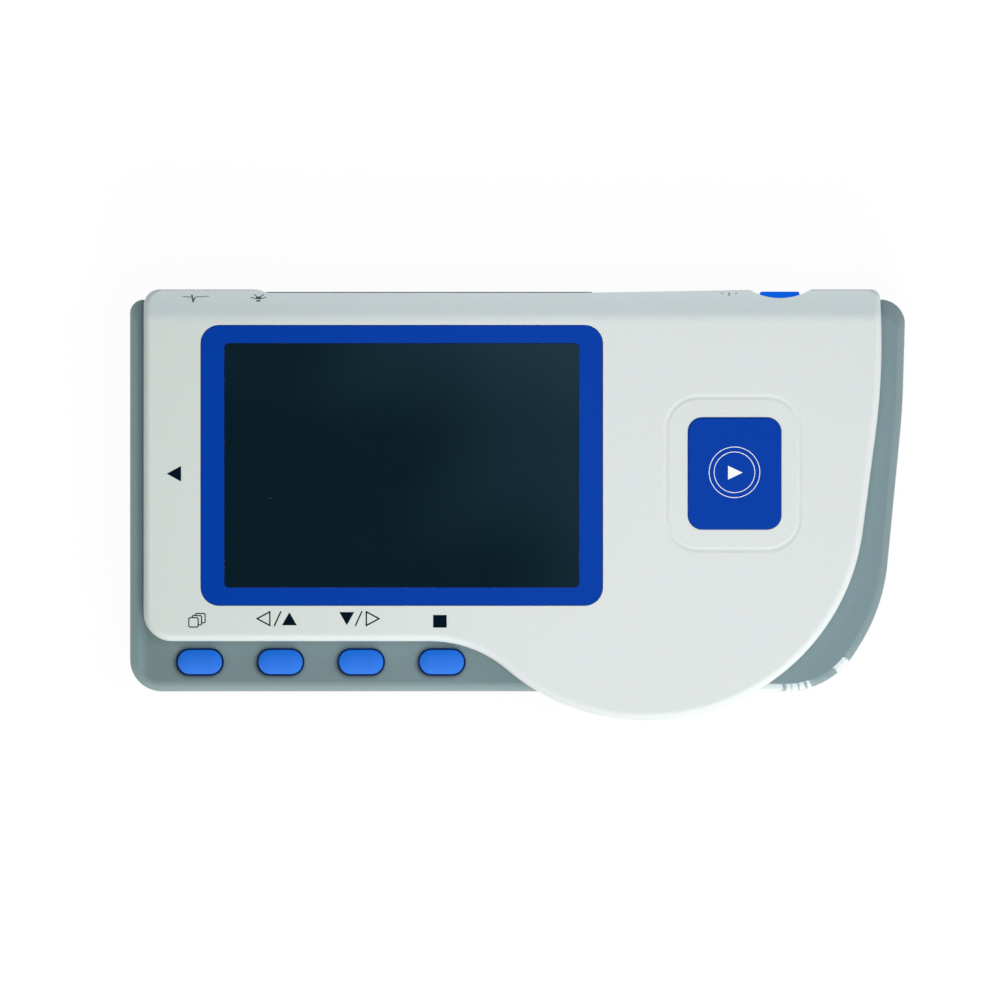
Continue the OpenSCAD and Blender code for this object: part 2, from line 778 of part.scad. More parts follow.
module start_key() {
    color([0.02, 0.24, 0.66]) {
        rounded_top(box_corners(start_x, start_y, start_length, start_height, start_radius),
            start_flange_top - bite, face_level + start_rise, [0.6, 0.6, 0.6, 0.6], 0.5, 4);
        slab(start_x, start_y, start_length + 2, start_height + 2, start_radius, start_flange_low, start_flange_top);
        pillar(start_x, start_y, 5, plunger_top, start_flange_low + bite);
    }
}

module power_key() {
    color([0.04, 0.37, 0.87]) {
        block([power_x - power_length / 2, power_flange_face - bite, power_z - power_height / 2],
            [power_x + power_length / 2, power_face, power_z + power_height / 2]);
        block([power_x - power_length / 2 - 0.8, power_flange_back, power_z - power_height / 2 - 0.8],
            [power_x + power_length / 2 + 0.8, power_flange_face, power_z + power_height / 2 + 0.8]);
        rod_y(power_x, power_z, 2.4, switch_front + 0.9, power_flange_back + bite);
    }
}

module plunger(x, y) {
    color([0.10, 0.10, 0.11]) pillar(x, y, plunger_diameter, board_top + switch_height - 1.2, plunger_top);
}

module menu_plunger() { plunger(oval_x(0), oval_y); }
module left_up_plunger() { plunger(oval_x(1), oval_y); }
module right_down_plunger() { plunger(oval_x(2), oval_y); }
module stop_plunger() { plunger(oval_x(3), oval_y); }
module start_plunger() { plunger(start_x, start_y); }

module power_plunger() {
    color([0.10, 0.10, 0.11]) rod_y(power_x, power_z, 2, switch_front - 1.2, switch_front + 0.9);
}

module key_switch(x, y) {
    difference() {
        block([x - switch_size / 2, y - switch_size / 2 + 0.4, board_top],
            [x + switch_size / 2, y + switch_size / 2 - 0.4, board_top + switch_height]);
        pillar(x, y, plunger_diameter + 0.1, board_top + 1, board_top + switch_height + 1);
    }
}

module key_switches() {
    color([0.18, 0.18, 0.20]) {
        for (k = [0:3]) key_switch(oval_x(k), oval_y);
        key_switch(start_x, start_y);
    }
}

module power_switch() {
    color([0.18, 0.18, 0.20]) difference() {
        block([power_x - 3, switch_front - 3.4, board_top], [power_x + 3, switch_front, power_z + 1.8]);
        rod_y(power_x, power_z, 2.1, switch_front - 2, switch_front + 1);
    }
}

// =====================================================================================
// Circuit board and what is on it
// =====================================================================================

module main_board() {
    color([0.05, 0.33, 0.20]) difference() {
        prism(body_corners, board_inset, board_level, board_top);
        // the cells' bay stands in this notch
        block([-half_length, bay_y - bay_half - bay_wall - 0.5, 0],
            [bay_right + bay_wall + 0.5, bay_y + bay_half + bay_wall + 0.5, face_level]);
        for (p = case_screw_places) pillar(p[0], p[1], boss_diameter + 0.6, board_level - 1, board_top + 1);
        for (p = board_screw_places) pillar(p[0], p[1], 2.2, board_level - 1, board_top + 1);
    }
}

// each chip: distances of its centre from the right end and the top edge, length, width, height
chips = [
    [35.5, 47.8, 10, 10, 1.2], [half_length - ribbon_out - 4.25, 22.3, 5, 5, 0.9], [53.5, 56.3, 8, 5, 1.1],
    [19.5, 22.8, 6, 4, 1], [34.5, 15.2, 8, 3.2, 1.6], [26.5, 57.3, 4, 3, 0.9]
];

module board_chips() {
    color([0.08, 0.08, 0.09]) for (c = chips)
        translate([half_length - c[0] - c[2] / 2, half_height - c[1] - c[3] / 2, board_top])
            cube([c[2], c[3], c[4]]);
}

module board_screws() {
    color([0.75, 0.76, 0.78]) for (p = board_screw_places)
        translate([0, 0, 2 * board_top]) mirror([0, 0, 1]) screw_up(p[0], p[1], 1.54, 4, 3.4, 1.1, board_top);
}

module ribbon_socket() {
    color([0.90, 0.88, 0.80])
        block([display_x + lcd_length / 2 - 5.4, display_y - ribbon_width / 2 - 1, board_top],
            [display_x + lcd_length / 2 - 1.4, display_y + ribbon_width / 2 + 1, board_top + 1.4]);
}

module buzzer() {
    color([0.10, 0.10, 0.11]) difference() {
        pillar(buzzer_x, buzzer_y, buzzer_diameter, board_level - buzzer_height, board_level);
        pillar(buzzer_x, buzzer_y, 2, board_level - buzzer_height - 1, board_level - 1.4);
    }
}

module lead_socket() {
    color([0.13, 0.13, 0.14]) difference() {
        union() {
            block([lead_x - lead_body_width / 2, lead_back, board_top],
                [lead_x + lead_body_width / 2, skirt_inner - slip, board_top + lead_body_height]);
            rod_y(lead_x, lead_z, lead_nose, skirt_inner - 1, socket_face);
        }
        rod_y(lead_x, lead_z, lead_bore, socket_face - lead_depth, socket_face + 1);
    }
}

module usb_shell() {
    color([0.78, 0.79, 0.80]) difference() {
        block([usb_x - usb_width / 2, socket_face - usb_length, board_top],
            [usb_x + usb_width / 2, socket_face, board_top + usb_height]);
        block([usb_x - usb_width / 2 + usb_sheet, socket_face - usb_length + usb_sheet, board_top + usb_sheet],
            [usb_x + usb_width / 2 - usb_sheet, socket_face + 1, board_top + usb_height - usb_sheet]);
    }
}

module usb_tongue() {
    back = socket_face - usb_length + usb_sheet;
    color([0.12, 0.12, 0.13]) {
        block([usb_x - usb_width / 2 + 0.6, back, board_top + usb_sheet],
            [usb_x + usb_width / 2 - 0.6, back + 2, board_top + usb_height - 0.6]);
        block([usb_x - 2.4, back + 2 - bite, board_top + 1.5], [usb_x + 2.4, socket_face - 1, board_top + 2.3]);
    }
}

// =====================================================================================
// Cells, their springs and contacts
// =====================================================================================

// the upper cell's nub points left, the lower one's points right
module cell(y) {
    color([0.30, 0.33, 0.36]) {
        rod_x(y, cell_z, cell_diameter, plate_left + nub_length, plate_left + cell_length);
        rod_x(y, cell_z, nub_diameter, plate_left, plate_left + nub_length + bite);
    }
}

module upper_cell() { cell(upper_y); }
module lower_cell() { translate([plate_left + plate_right, 0, 0]) mirror([1, 0, 0]) cell(lower_y); }

// a conical coil between a cell's flat end and its contact plate
ring_sides = 6;
rings_per_turn = 8;
spring_wide = 3.6;
spring_narrow = 2.2;
spring_rings = spring_turns * rings_per_turn;
spring_length = plate_right - plate_left - cell_length - 2 * spring_gap;

function coil_radius(t) = spring_wide + (spring_narrow - spring_wide) * t;
function coil_point(t) = [
    spring_wire / 2 + (spring_length - spring_wire) * t,
    coil_radius(t) * cos(360 * spring_turns * t),
    coil_radius(t) * sin(360 * spring_turns * t)
];
function coil_ring(t) =
    let (c = coil_point(t), out = unit([0, c[1], c[2]]))
    [for (s = [0:ring_sides - 1]) let (a = 360 * s / ring_sides)
        c + (cos(a) * [1, 0, 0] + sin(a) * out) * spring_wire / 2];

module coil() {
    points = [for (k = [0:spring_rings]) each coil_ring(k / spring_rings)];
    sides = [
        for (k = [0:spring_rings - 1]) for (s = [0:ring_sides - 1])
        let (j = (s + 1) % ring_sides, a = k * ring_sides, b = a + ring_sides)
        each [[a + s, b + s, b + j], [a + s, b + j, a + j]]
    ];
    first = [for (s = [0:ring_sides - 1]) s];
    end = [for (s = [ring_sides - 1:-1:0]) spring_rings * ring_sides + s];
    polyhedron(points, concat([first], sides, [end]), 10);
}

module upper_cell_spring() {
    color([0.80, 0.81, 0.83]) translate([plate_right - spring_gap, upper_y, cell_z]) mirror([1, 0, 0]) coil();
}

module lower_cell_spring() {
    color([0.80, 0.81, 0.83]) translate([plate_left + spring_gap, lower_y, cell_z]) coil();
}

module cell_contacts() {
    low = door_thickness + 1.4;
    high = bay_ceiling - 0.4;
    color([0.80, 0.81, 0.83]) {
        block([bay_left, lower_y - 4, low], [plate_left, upper_y + 4, high]);
        block([plate_right, upper_y - 4, low], [bay_right, upper_y + 4, high]);
        block([plate_right, lower_y - 4, low], [bay_right, lower_y + 4, high]);
    }
}

// =====================================================================================
// Electrodes
// =====================================================================================

module left_electrode() {
    color([0.78, 0.79, 0.80]) {
        block([-half_length, left_electrode_y - left_electrode_length / 2, left_electrode_low],
            [-half_length + electrode_thickness, left_electrode_y + left_electrode_length / 2, left_electrode_high]);
        block([-half_length + electrode_thickness - bite, tab_y - 1, tab_low],
            [-half_length + 5, tab_y + 1, tab_high]);
    }
}

module top_electrode() {
    color([0.78, 0.79, 0.80]) {
        block([top_middle - top_electrode_length / 2, rail_face - electrode_thickness, top_electrode_low],
            [top_middle + top_electrode_length / 2, rail_face - 0.05, top_electrode_high]);
        block([top_middle - 2, body_top - 4.4, tab_low],
            [top_middle + 2, rail_face - electrode_thickness + bite, tab_high]);
    }
}

module back_electrode() {
    color([0.78, 0.79, 0.80]) {
        slab(back_electrode_x, back_electrode_y, back_electrode_length, back_electrode_height, 4,
            0.05, electrode_thickness + 0.05);
        pillar(back_electrode_x, back_electrode_y, 2.2, electrode_thickness - bite, wall + 0.6);
    }
}

module electrode_pins() {
    // upright pins from the electrodes' tabs to the board
    color([0.82, 0.66, 0.30]) {
        pillar(back_electrode_x, back_electrode_y, 1.4, wall + 0.6, board_level);
        pillar(top_middle, body_top - 3.7, 1, tab_high, board_level);
        pillar(-half_length + 4.2, tab_y, 1, tab_high, board_level);
    }
}

module case_screws() {
    color([0.75, 0.76, 0.78]) for (p = case_screw_places)
        screw_up(p[0], p[1], case_shank - 0.06, deck_underside - 2 - under_head, case_head, case_head_height,
            under_head);
}

// =====================================================================================
// Assembly
// =====================================================================================

front_cover();
front_frame();
rear_case();
battery_door();
display_frame();
display_window();
display_gasket();
lcd_panel();
lcd_bracket();
lcd_ribbon();
bracket_screws();
menu_key();
left_up_key();
right_down_key();
stop_key();
start_key();
power_key();
menu_plunger();
left_up_plunger();
right_down_plunger();
stop_plunger();
start_plunger();
power_plunger();
key_switches();
power_switch();
main_board();
board_chips();
board_screws();
ribbon_socket();
buzzer();
lead_socket();
usb_shell();
usb_tongue();
upper_cell();
lower_cell();
upper_cell_spring();
lower_cell_spring();
cell_contacts();
left_electrode();
top_electrode();
back_electrode();
electrode_pins();
case_screws();
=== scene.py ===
import functools
import json
import math

import bmesh
import bpy
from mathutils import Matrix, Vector

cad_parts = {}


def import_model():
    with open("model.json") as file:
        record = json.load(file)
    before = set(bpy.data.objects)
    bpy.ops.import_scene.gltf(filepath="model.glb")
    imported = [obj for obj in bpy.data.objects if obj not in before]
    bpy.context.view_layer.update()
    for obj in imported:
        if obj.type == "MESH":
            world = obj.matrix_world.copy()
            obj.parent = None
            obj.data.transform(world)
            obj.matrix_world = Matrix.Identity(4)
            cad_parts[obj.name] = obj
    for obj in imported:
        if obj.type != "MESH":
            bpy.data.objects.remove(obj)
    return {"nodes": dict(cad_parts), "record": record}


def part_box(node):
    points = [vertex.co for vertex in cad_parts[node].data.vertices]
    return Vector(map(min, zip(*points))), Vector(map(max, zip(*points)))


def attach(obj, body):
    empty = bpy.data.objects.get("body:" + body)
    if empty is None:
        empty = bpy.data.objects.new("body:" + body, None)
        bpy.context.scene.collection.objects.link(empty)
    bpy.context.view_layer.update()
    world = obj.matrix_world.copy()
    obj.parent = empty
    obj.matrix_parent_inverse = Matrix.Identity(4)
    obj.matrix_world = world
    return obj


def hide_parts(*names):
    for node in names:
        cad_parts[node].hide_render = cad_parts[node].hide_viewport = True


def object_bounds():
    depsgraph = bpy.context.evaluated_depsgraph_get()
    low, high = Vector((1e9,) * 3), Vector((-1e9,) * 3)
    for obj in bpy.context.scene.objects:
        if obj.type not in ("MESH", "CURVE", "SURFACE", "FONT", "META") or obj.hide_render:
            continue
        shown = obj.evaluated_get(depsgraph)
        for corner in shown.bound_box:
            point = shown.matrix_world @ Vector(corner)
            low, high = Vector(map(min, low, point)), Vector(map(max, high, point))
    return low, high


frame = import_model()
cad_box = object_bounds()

# The looks of a handheld home heart-rhythm monitor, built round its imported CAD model.
# Shapes are worked out in millimetres in the CAD frame and turned into metres when a piece is placed.

MM = 0.001
HOUSING = "housing"

# ---- Sizes in millimetres, read from the frame or worked out from its box ----

HALF_LENGTH = round(cad_box[1].x / MM, 2)
HALF_HEIGHT = round(cad_box[1].y / MM, 2)


@functools.cache
def span(node):
    """Lowest and highest corner of a CAD node in millimetres."""
    low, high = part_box(node)
    return low / MM, high / MM


def middle(node):
    low, high = span(node)
    return (low + high) / 2


FACE = round(span("front_cover")[1].z, 2)
DECK = round(span("front_frame")[1].z, 2)
PARTING = round(span("front_frame")[0].z, 2)
COVER_WALL = 1.8                # also the thickness of the roof under the white face
BODY_WALL = 1.6
DECK_THICKNESS = 1.5
ROOF_UNDERSIDE = FACE - COVER_WALL
DECK_UNDERSIDE = DECK - DECK_THICKNESS
BODY_TOP = HALF_HEIGHT - 1.65
BODY_BOTTOM = HALF_HEIGHT - 4.65
COVER_LEFT = -HALF_LENGTH + 2.25
COVER_RIGHT = HALF_LENGTH - 4.1
COVER_FOOT = -HALF_HEIGHT + 12.75
SKIRT_INNER = HALF_HEIGHT - 2.25
SLIP = 0.1                      # between pieces that lie in each other
KEY_GAP = 0.2                   # round the power key
OVAL_GAP = 0.27                 # round each oval key
PAST = 1                        # how far a cutter is drawn past the surface that it cuts

# corners are (x, y, radius), clockwise from the top left
BODY = [
    (-HALF_LENGTH, BODY_TOP, 2.3),
    (HALF_LENGTH + 0.12, BODY_TOP, 4),
    (HALF_LENGTH - 0.4, HALF_HEIGHT - 19.45, 120),
    (HALF_LENGTH - 3.5, 18.05 - HALF_HEIGHT, 30),
    (HALF_LENGTH - 12, -BODY_BOTTOM, 13),
    (-HALF_LENGTH, -BODY_BOTTOM, 5.2),
]
# how far the rounded edge reaches in along each side; a pair is the reach at the side's start and end
BODY_RIM = [3.0, 1.3, 1.3, 1.3, (1.3, 1.8), 1.3]
BODY_RIM_DROP = 1.2
COVER = [
    (COVER_LEFT, HALF_HEIGHT, 2.6),
    (COVER_RIGHT, HALF_HEIGHT, 1.5),
    (HALF_LENGTH - 3.45, HALF_HEIGHT - 13.15, 112),
    (HALF_LENGTH - 10.85, -HALF_HEIGHT, 35),
    (HALF_LENGTH - 54.3, -HALF_HEIGHT, 34.6),
    (HALF_LENGTH - 69.75, COVER_FOOT, 19),
    (COVER_LEFT, COVER_FOOT, 4.6),
]
COVER_RIM = [0.22, 1.2, 1.3, 1.3, 1.3, 1.3, 1.1]
COVER_RIM_DROP = 1.2

# the band along the top edge: a bend and then a slope down to the edge
BAND_START = HALF_HEIGHT - 5.4
BAND_RADIUS = 4.4
BAND_ANGLE = math.radians(25)
BAND_EASE = 0.018               # how much the slope flattens out towards the edge, per millimetre
BEND_STEPS = 6
SLOPE_STEPS = 5
BAND_ROOM_DROP = 0.9            # how much lower the roof's underside lies behind the band

RAIL = (-HALF_LENGTH + 22, HALF_LENGTH - 50.5)
RAIL_NOTCH_TOP = 12.5
RECESS = (-HALF_LENGTH + 22.15, HALF_LENGTH - 52.9)
RECESS_DEPTH = 0.6
RECESS_RUNS = (2.5, 35)         # lengths over which it runs out at its left and right end
SCOOP_DEPTH = 1.44
SCOOP_WIDTH = 10.2

OVAL_KEYS = ["menu_key", "left_up_key", "right_down_key", "stop_key"]
OVAL_SIZE = (7.1, 3.9)
OVAL_Y = -BODY_BOTTOM + 4.75
OVAL_FLAT = 0.05                # keeps a short straight length at the ends of an oval
START_SIZE = (15, 18)
START_RADIUS = 2.3
START_GAP = 0.03
START_SINK = 0.45               # how far the visible key's top lies below that of its CAD node
START_FLARE = [0.42, 0.16, 0.14, 0.12]    # top, right, bottom, left
START_FLARE_DEPTH = 0.2
POWER_SIZE = (6.4, 4)
POWER_Z = 11.6
FLANGE_REACH = 0.8              # how far a key's flange reaches past its cap
FLANGE_GAP = 0.1                # between the flange and the underside that stops it

BEZEL_RADIUS = 3
BEZEL_GAP = 0.03
BEZEL_COVERS = (4.8, 3.9)       # how far the opening behind the display frame keeps inside its outline
WINDOW_RADIUS = 0.75
WINDOW_GAP = 0.05
GROOVE_CENTRE = (34.67, 5.05)
GROOVE_SIZE = (21.5, 24.6)
GROOVE_RADIUS = 5.2
GROOVE_WIDTH = 1.0
GROOVE_DEPTH = 0.09
SHARP_LIP = 0.04                # rounding left where a hole comes out of a face
LEAD_HOLE_RADIUS = 2.8
LCD_ROOM = 0.3
INK_THICKNESS = 0.012


# ---- Outlines ----


def unit(v):
    return v / v.length


def right_of(v):
    return Vector((v.y, -v.x))


def cross(a, b):
    return a.x * b.y - a.y * b.x


ARC_STEP = math.radians(6)
ARC_STEP_LENGTH = 1.2
LEAST_ARC_STEPS = 6
LEAST_RADIUS = 0.05


def outline(corners, inset=0.0):
    """Points clockwise round rounded corners. The inset is one distance, or a list with one for each side;
    in a list, a pair is the distance at the side's start and at its end."""
    count = len(corners)
    sides_in = [inset] * count if isinstance(inset, (int, float)) else inset
    insets = [each if isinstance(each, tuple) else (each, each) for each in sides_in]
    at = [Vector(c[:2]) for c in corners]
    sides = [unit(at[(i + 1) % count] - at[i]) for i in range(count)]
    points = []
    for i in range(count):
        before, after = sides[i - 1], sides[i]
        shift_a, shift_b = insets[i - 1][1], insets[i][0]
        normal_a, normal_b = right_of(before), right_of(after)
        turn = math.atan2(cross(before, after), before.dot(after))
        moved = at[i] + Vector((
            shift_a * normal_b.y - shift_b * normal_a.y,
            shift_b * normal_a.x - shift_a * normal_b.x,
        )) / cross(normal_a, normal_b)
        radius, least = corners[i][2], min(shift_a, shift_b)
        steps = max(LEAST_ARC_STEPS, math.ceil(abs(turn) / ARC_STEP),
                    math.ceil(abs(turn) * radius / ARC_STEP_LENGTH))
        convex = turn < 0
        radius = max(radius - least, LEAST_RADIUS) if convex else radius + least
        spoke = normal_a * (-radius if convex else radius)
        centre = moved - before * radius * math.tan(abs(turn) / 2) - spoke
        for k in range(steps + 1):
            a = turn * k / steps
            points.append(centre + Vector((
                spoke.x * math.cos(a) - spoke.y * math.sin(a),
                spoke.x * math.sin(a) + spoke.y * math.cos(a),
            )))
    return points


def box_corners(x, y, length, height, radius):
    """Corners of a rounded rectangle about a centre."""
    dx, dy = length / 2, height / 2
    return [(x + side * dx, y + level * dy, radius) for side, level in ((-1, 1), (1, 1), (1, -1), (-1, -1))]


def grown(size, margin):
    """Length and height with a margin all round."""
    return size[0] + 2 * margin, size[1] + 2 * margin


def arc_steps(count):
    """Share of the way across and share of the way down along a quarter round, from the side to the top."""
    angles = [math.pi / 2 * k / count for k in range(count + 1)]
    return [(1 - math.cos(a), 1 - math.sin(a)) for a in angles]


def scaled(inset, share):
    return tuple(each * share for each in inset) if isinstance(inset, tuple) else inset * share


def rounded_rings(corners, low, high, insets, drop, steps=8, flat=0.0):
    """Rings of an upright solid whose upper edge is rounded, or mostly chamfered as flat nears 1."""
    across = [insets] * len(corners) if isinstance(insets, (int, float)) else insets
    rings = [(outline(corners), low)]
    for k, (x, d) in enumerate(arc_steps(steps)):
        x, d = x + (k / steps - x) * flat, d + (1 - k / steps - d) * flat
        rings.append((outline(corners, [scaled(w, x) for w in across]), high - drop * d))
    return rings


def flared_rings(corners, low, high, lip=SHARP_LIP, steps=4, depth=None):
    """Rings of a cutter that leaves a rounded lip where it comes out of a face at the level high.
    The lip is one width, or a list with one for each side."""
    lips = [lip] * len(corners) if isinstance(lip, (int, float)) else lip
    depth = depth or max(lips)
    rings = [(outline(corners), low)]
    for x, d in arc_steps(steps):
        rings.append((outline(corners, [-each * x for each in lips]), high - depth * d))
    return rings + [(outline(corners, [-each for each in lips]), high + PAST)]


# ---- Meshes ----


def add_object(name, data):
    made = bpy.data.objects.new(name, data)
    bpy.context.scene.collection.objects.link(made)
    return made


def new_object(name, mesh):
    """An object with this bmesh's mesh, in millimetres until it is placed."""
    bmesh.ops.recalc_face_normals(mesh, faces=mesh.faces)
    data = bpy.data.meshes.new(name)
    mesh.to_mesh(data)
    mesh.free()
    return add_object(name, data)


def add_rings(mesh, loops):
    """Closed surface through loops of equal count, given as lists of points."""
    rows = [[mesh.verts.new(p) for p in loop] for loop in loops]
    for lower, upper in zip(rows, rows[1:]):
        for i in range(len(lower)):
            mesh.faces.new((lower[i - 1], lower[i], upper[i], upper[i - 1]))
    mesh.faces.new(rows[0])
    mesh.faces.new(reversed(rows[-1]))


def solid(name, rings):
    """Upright solid through (outline, level) rings from the lowest up."""
    mesh = bmesh.new()
    add_rings(mesh, [[(p.x, p.y, z) for p in points] for points, z in rings])
    return new_object(name, mesh)


def prism(corners, low, high, inset=0.0):
    return solid("prism", [(outline(corners, inset), low), (outline(corners, inset), high)])


def block(low, high):
    corners = [(low[0], high[1]), (high[0], high[1]), (high[0], low[1]), (low[0], low[1])]
    points = [Vector(c) for c in corners]
    return solid("block", [(points, low[2]), (points, high[2])])


def rod(centre, radius, axis, low, high, sides=96):
    """Round rod along x, y or z from low to high; centre is its place across the axis."""
    u, v = {"x": (1, 2), "y": (2, 0), "z": (0, 1)}[axis]
    along = "xyz".index(axis)
    across = {"x": (centre[0], centre[1]), "y": (centre[1], centre[0]), "z": (centre[0], centre[1])}[axis]
    loops = []
    for end in (low, high):
        loop = []
        for k in range(sides):
            a = 2 * math.pi * k / sides
            point = [0.0, 0.0, 0.0]
            point[along] = end
            point[u] = across[0] + radius * math.cos(a)
            point[v] = across[1] + radius * math.sin(a)
            loop.append(point)
        loops.append(loop)
    mesh = bmesh.new()
    add_rings(mesh, loops)
    return new_object("rod", mesh)


def combine(piece, tools, operation):
    """Changes the piece by each tool in turn and removes the tools."""
    for tool in tools:
        change = piece.modifiers.new("change", "BOOLEAN")
        change.operation, change.solver, change.object = operation, "EXACT", tool
        bpy.context.view_layer.update()
        result = piece.evaluated_get(bpy.context.evaluated_depsgraph_get())
        data = bpy.data.meshes.new_from_object(result)
        piece.modifiers.clear()
        piece.data = data
        bpy.data.objects.remove(tool)
    return piece


def cut(piece, *tools):
    return combine(piece, tools, "DIFFERENCE")


def join(piece, *tools):
    return combine(piece, tools, "UNION")


def keep(piece, *tools):
    return combine(piece, tools, "INTERSECT")


SHARP_ANGLE = math.radians(32)
NORMAL_WEIGHT = 80


def smooth(piece):
    piece.data.shade_smooth()
    piece.data.set_sharp_from_angle(angle=SHARP_ANGLE)
    normals = piece.modifiers.new("normals", "WEIGHTED_NORMAL")
    normals.weight = NORMAL_WEIGHT
    normals.keep_sharp = True


def place(piece, name, material, body=HOUSING, node=None):
    """Turns a finished piece into metres, gives it its material and hangs it on its body."""
    piece.name = name
    piece.data.transform(((MM, 0, 0, 0), (0, MM, 0, 0), (0, 0, MM, 0), (0, 0, 0, 1)))
    piece.data.materials.clear()
    piece.data.materials.append(material)
    smooth(piece)
    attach(piece, body)
    if node:
        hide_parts(node)
    return piece


# ---- Materials ----


def linear(red, green, blue):
    """Linear colour from 8-bit sRGB values."""
    def channel(value):
        c = value / 255
        return c / 12.92 if c <= 0.04045 else ((c + 0.055) / 1.055) ** 2.4

    return (channel(red), channel(green), channel(blue), 1)


def new_material(name):
    material = bpy.data.materials.new(name)
    material.use_nodes = True
    material.node_tree.nodes.clear()
    return material, material.node_tree


def add(tree, kind, inputs=None, **settings):
    """Adds a node. An input is a value or another node's output socket."""
    made = tree.nodes.new("ShaderNode" + kind)
    for name, value in settings.items():
        setattr(made, name, value)
    for name, value in (inputs or {}).items():
        if isinstance(value, bpy.types.NodeSocket):
            tree.links.new(value, made.inputs[name])
        else:
            made.inputs[name].default_value = value
    return made


def coordinates(tree, stretch=(1, 1, 1)):
    place_of = add(tree, "TexCoord").outputs["Object"]
    return add(tree, "Mapping", {"Vector": place_of, "Scale": stretch}).outputs["Vector"]


def noise(tree, vector, size_mm, detail=2.0):
    """Noise from 0 to 1 whose features are about this size."""
    return add(tree, "TexNoise", {"Vector": vector, "Scale": 1000 / size_mm, "Detail": detail}).outputs["Fac"]


def remap(tree, value, low, high, start=0.3, end=0.7):
    """Value rescaled from start..end to low..high."""
    return add(tree, "MapRange", {
        "Value": value, "From Min": start, "From Max": end, "To Min": low, "To Max": high,
    }).outputs["Result"]


def maths(tree, operation, a, b):
    """Result of a Math node. Each input is a number or another node's output socket."""
    made = add(tree, "Math", operation=operation)
    for i, value in enumerate((a, b)):
        if isinstance(value, bpy.types.NodeSocket):
            tree.links.new(value, made.inputs[i])
        else:
            made.inputs[i].default_value = value
    return made.outputs["Value"]


def blend(tree, factor, a, b):
    """Colour between a and b."""
    made = add(tree, "Mix", data_type="RGBA")
    for name, value in (("Factor_Float", factor), ("A_Color", a), ("B_Color", b)):
        socket = next(s for s in made.inputs if s.identifier == name)
        if isinstance(value, bpy.types.NodeSocket):
            tree.links.new(value, socket)
        else:
            socket.default_value = value
    return next(s for s in made.outputs if s.identifier == "Result_Color")


def magnitude(tree, value):
    return maths(tree, "ABSOLUTE", value, 0.0)


def toned(tree, shade, value, change, start, end):
    """The shade made darker and lighter by a share as the value goes from start to end."""
    tone = remap(tree, value, 1 - change, 1 + change, start, end)
    return add(tree, "HueSaturation", {"Color": shade, "Value": tone}).outputs["Color"]


def finish_material(tree, inputs, height=None, depth_mm=0.02, strength=0.3):
    """Gives the material its surface, with a bump where a height is given."""
    if height is not None:
        bump = add(tree, "Bump", {"Height": height, "Strength": strength, "Distance": depth_mm * MM})
        inputs["Normal"] = bump.outputs["Normal"]
    shader = add(tree, "BsdfPrincipled", inputs)
    output = add(tree, "OutputMaterial")
    tree.links.new(shader.outputs["BSDF"], output.inputs["Surface"])


def moulded(name, colour, rough=(0.32, 0.42), mottle=0.02, mottle_size=20, grain=0.015, grain_size=0.3,
            bump=0.12, depth=0.01, stretch=(1, 1, 1), **shader):
    """Plastic, rubber or metal: broad and fine tone changes, uneven roughness and a fine surface grain."""
    material, tree = new_material(name)
    vector = coordinates(tree, stretch)
    broad = noise(tree, vector, mottle_size, 3)
    fine = noise(tree, vector, grain_size, 2)
    tone = maths(tree, "ADD", remap(tree, broad, 1 - mottle, 1 + mottle), remap(tree, fine, -grain, grain))
    shade = add(tree, "HueSaturation", {"Color": colour, "Value": tone}).outputs["Color"]
    uneven = maths(tree, "MULTIPLY", maths(tree, "ADD", broad, fine), 0.5)
    inputs = {"Base Color": shade, "Roughness": remap(tree, uneven, rough[0], rough[1], 0.35, 0.65)}
    inputs.update({key.replace("_", " "): value for key, value in shader.items()})
    finish_material(tree, inputs, fine, depth, bump)
    return material


def new_plastic(name, mottle_size):
    """A new material with its tree and coordinates, and with noise at two sizes."""
    material, tree = new_material(name)
    vector = coordinates(tree)
    return material, tree, vector, noise(tree, vector, mottle_size, 3), noise(tree, vector, 0.3, 2)


# a painted shadow round each oval key: where it sits, how far it reaches, how it fades and how dark it is
KEY_SHADOW_SHIFT = (-0.2, -0.15)      # of its centre from the key's
KEY_SHADOW_REACH = 1.0
KEY_SHADOW_FALL = 1.8                 # power with which the painted shadow fades away from a key
KEY_SHADOW_STRENGTH = 0.92
PITCHES_BEFORE = 20             # enough to keep the wrapped distance positive over the whole body


def painted_key_shadow(tree, place_of):
    """Strength from 0 to 1 of the painted shadow round each key of the row."""
    first, last = middle(OVAL_KEYS[0]).x, middle(OVAL_KEYS[-1]).x
    pitch = (last - first) / (len(OVAL_KEYS) - 1) * MM
    offset = maths(tree, "SUBTRACT", place_of["X"], (first + KEY_SHADOW_SHIFT[0]) * MM + pitch / 2)
    wrapped = maths(tree, "MODULO", maths(tree, "ADD", offset, PITCHES_BEFORE * pitch), pitch)
    beside = magnitude(tree, maths(tree, "SUBTRACT", wrapped, pitch / 2))
    straight = (OVAL_SIZE[0] - OVAL_SIZE[1]) / 2 * MM
    dx = maths(tree, "MAXIMUM", maths(tree, "SUBTRACT", beside, straight), 0.0)
    dy = magnitude(tree, maths(tree, "SUBTRACT", place_of["Y"], (OVAL_Y + KEY_SHADOW_SHIFT[1]) * MM))
    distance = maths(tree, "SQRT", maths(tree, "ADD", maths(tree, "POWER", dx, 2.0),
                                         maths(tree, "POWER", dy, 2.0)), 0.0)
    rim = OVAL_SIZE[1] / 2 * MM
    near = remap(tree, distance, 1.0, 0.0, rim, rim + KEY_SHADOW_REACH * MM)
    along = magnitude(tree, maths(tree, "SUBTRACT", place_of["X"], (first + last) / 2 * MM))
    in_row = maths(tree, "LESS_THAN", along, (last - first + OVAL_SIZE[0]) / 2 * MM + KEY_SHADOW_REACH * MM)
    return maths(tree, "MULTIPLY", maths(tree, "POWER", near, KEY_SHADOW_FALL),
                 maths(tree, "MULTIPLY", in_row, KEY_SHADOW_STRENGTH))


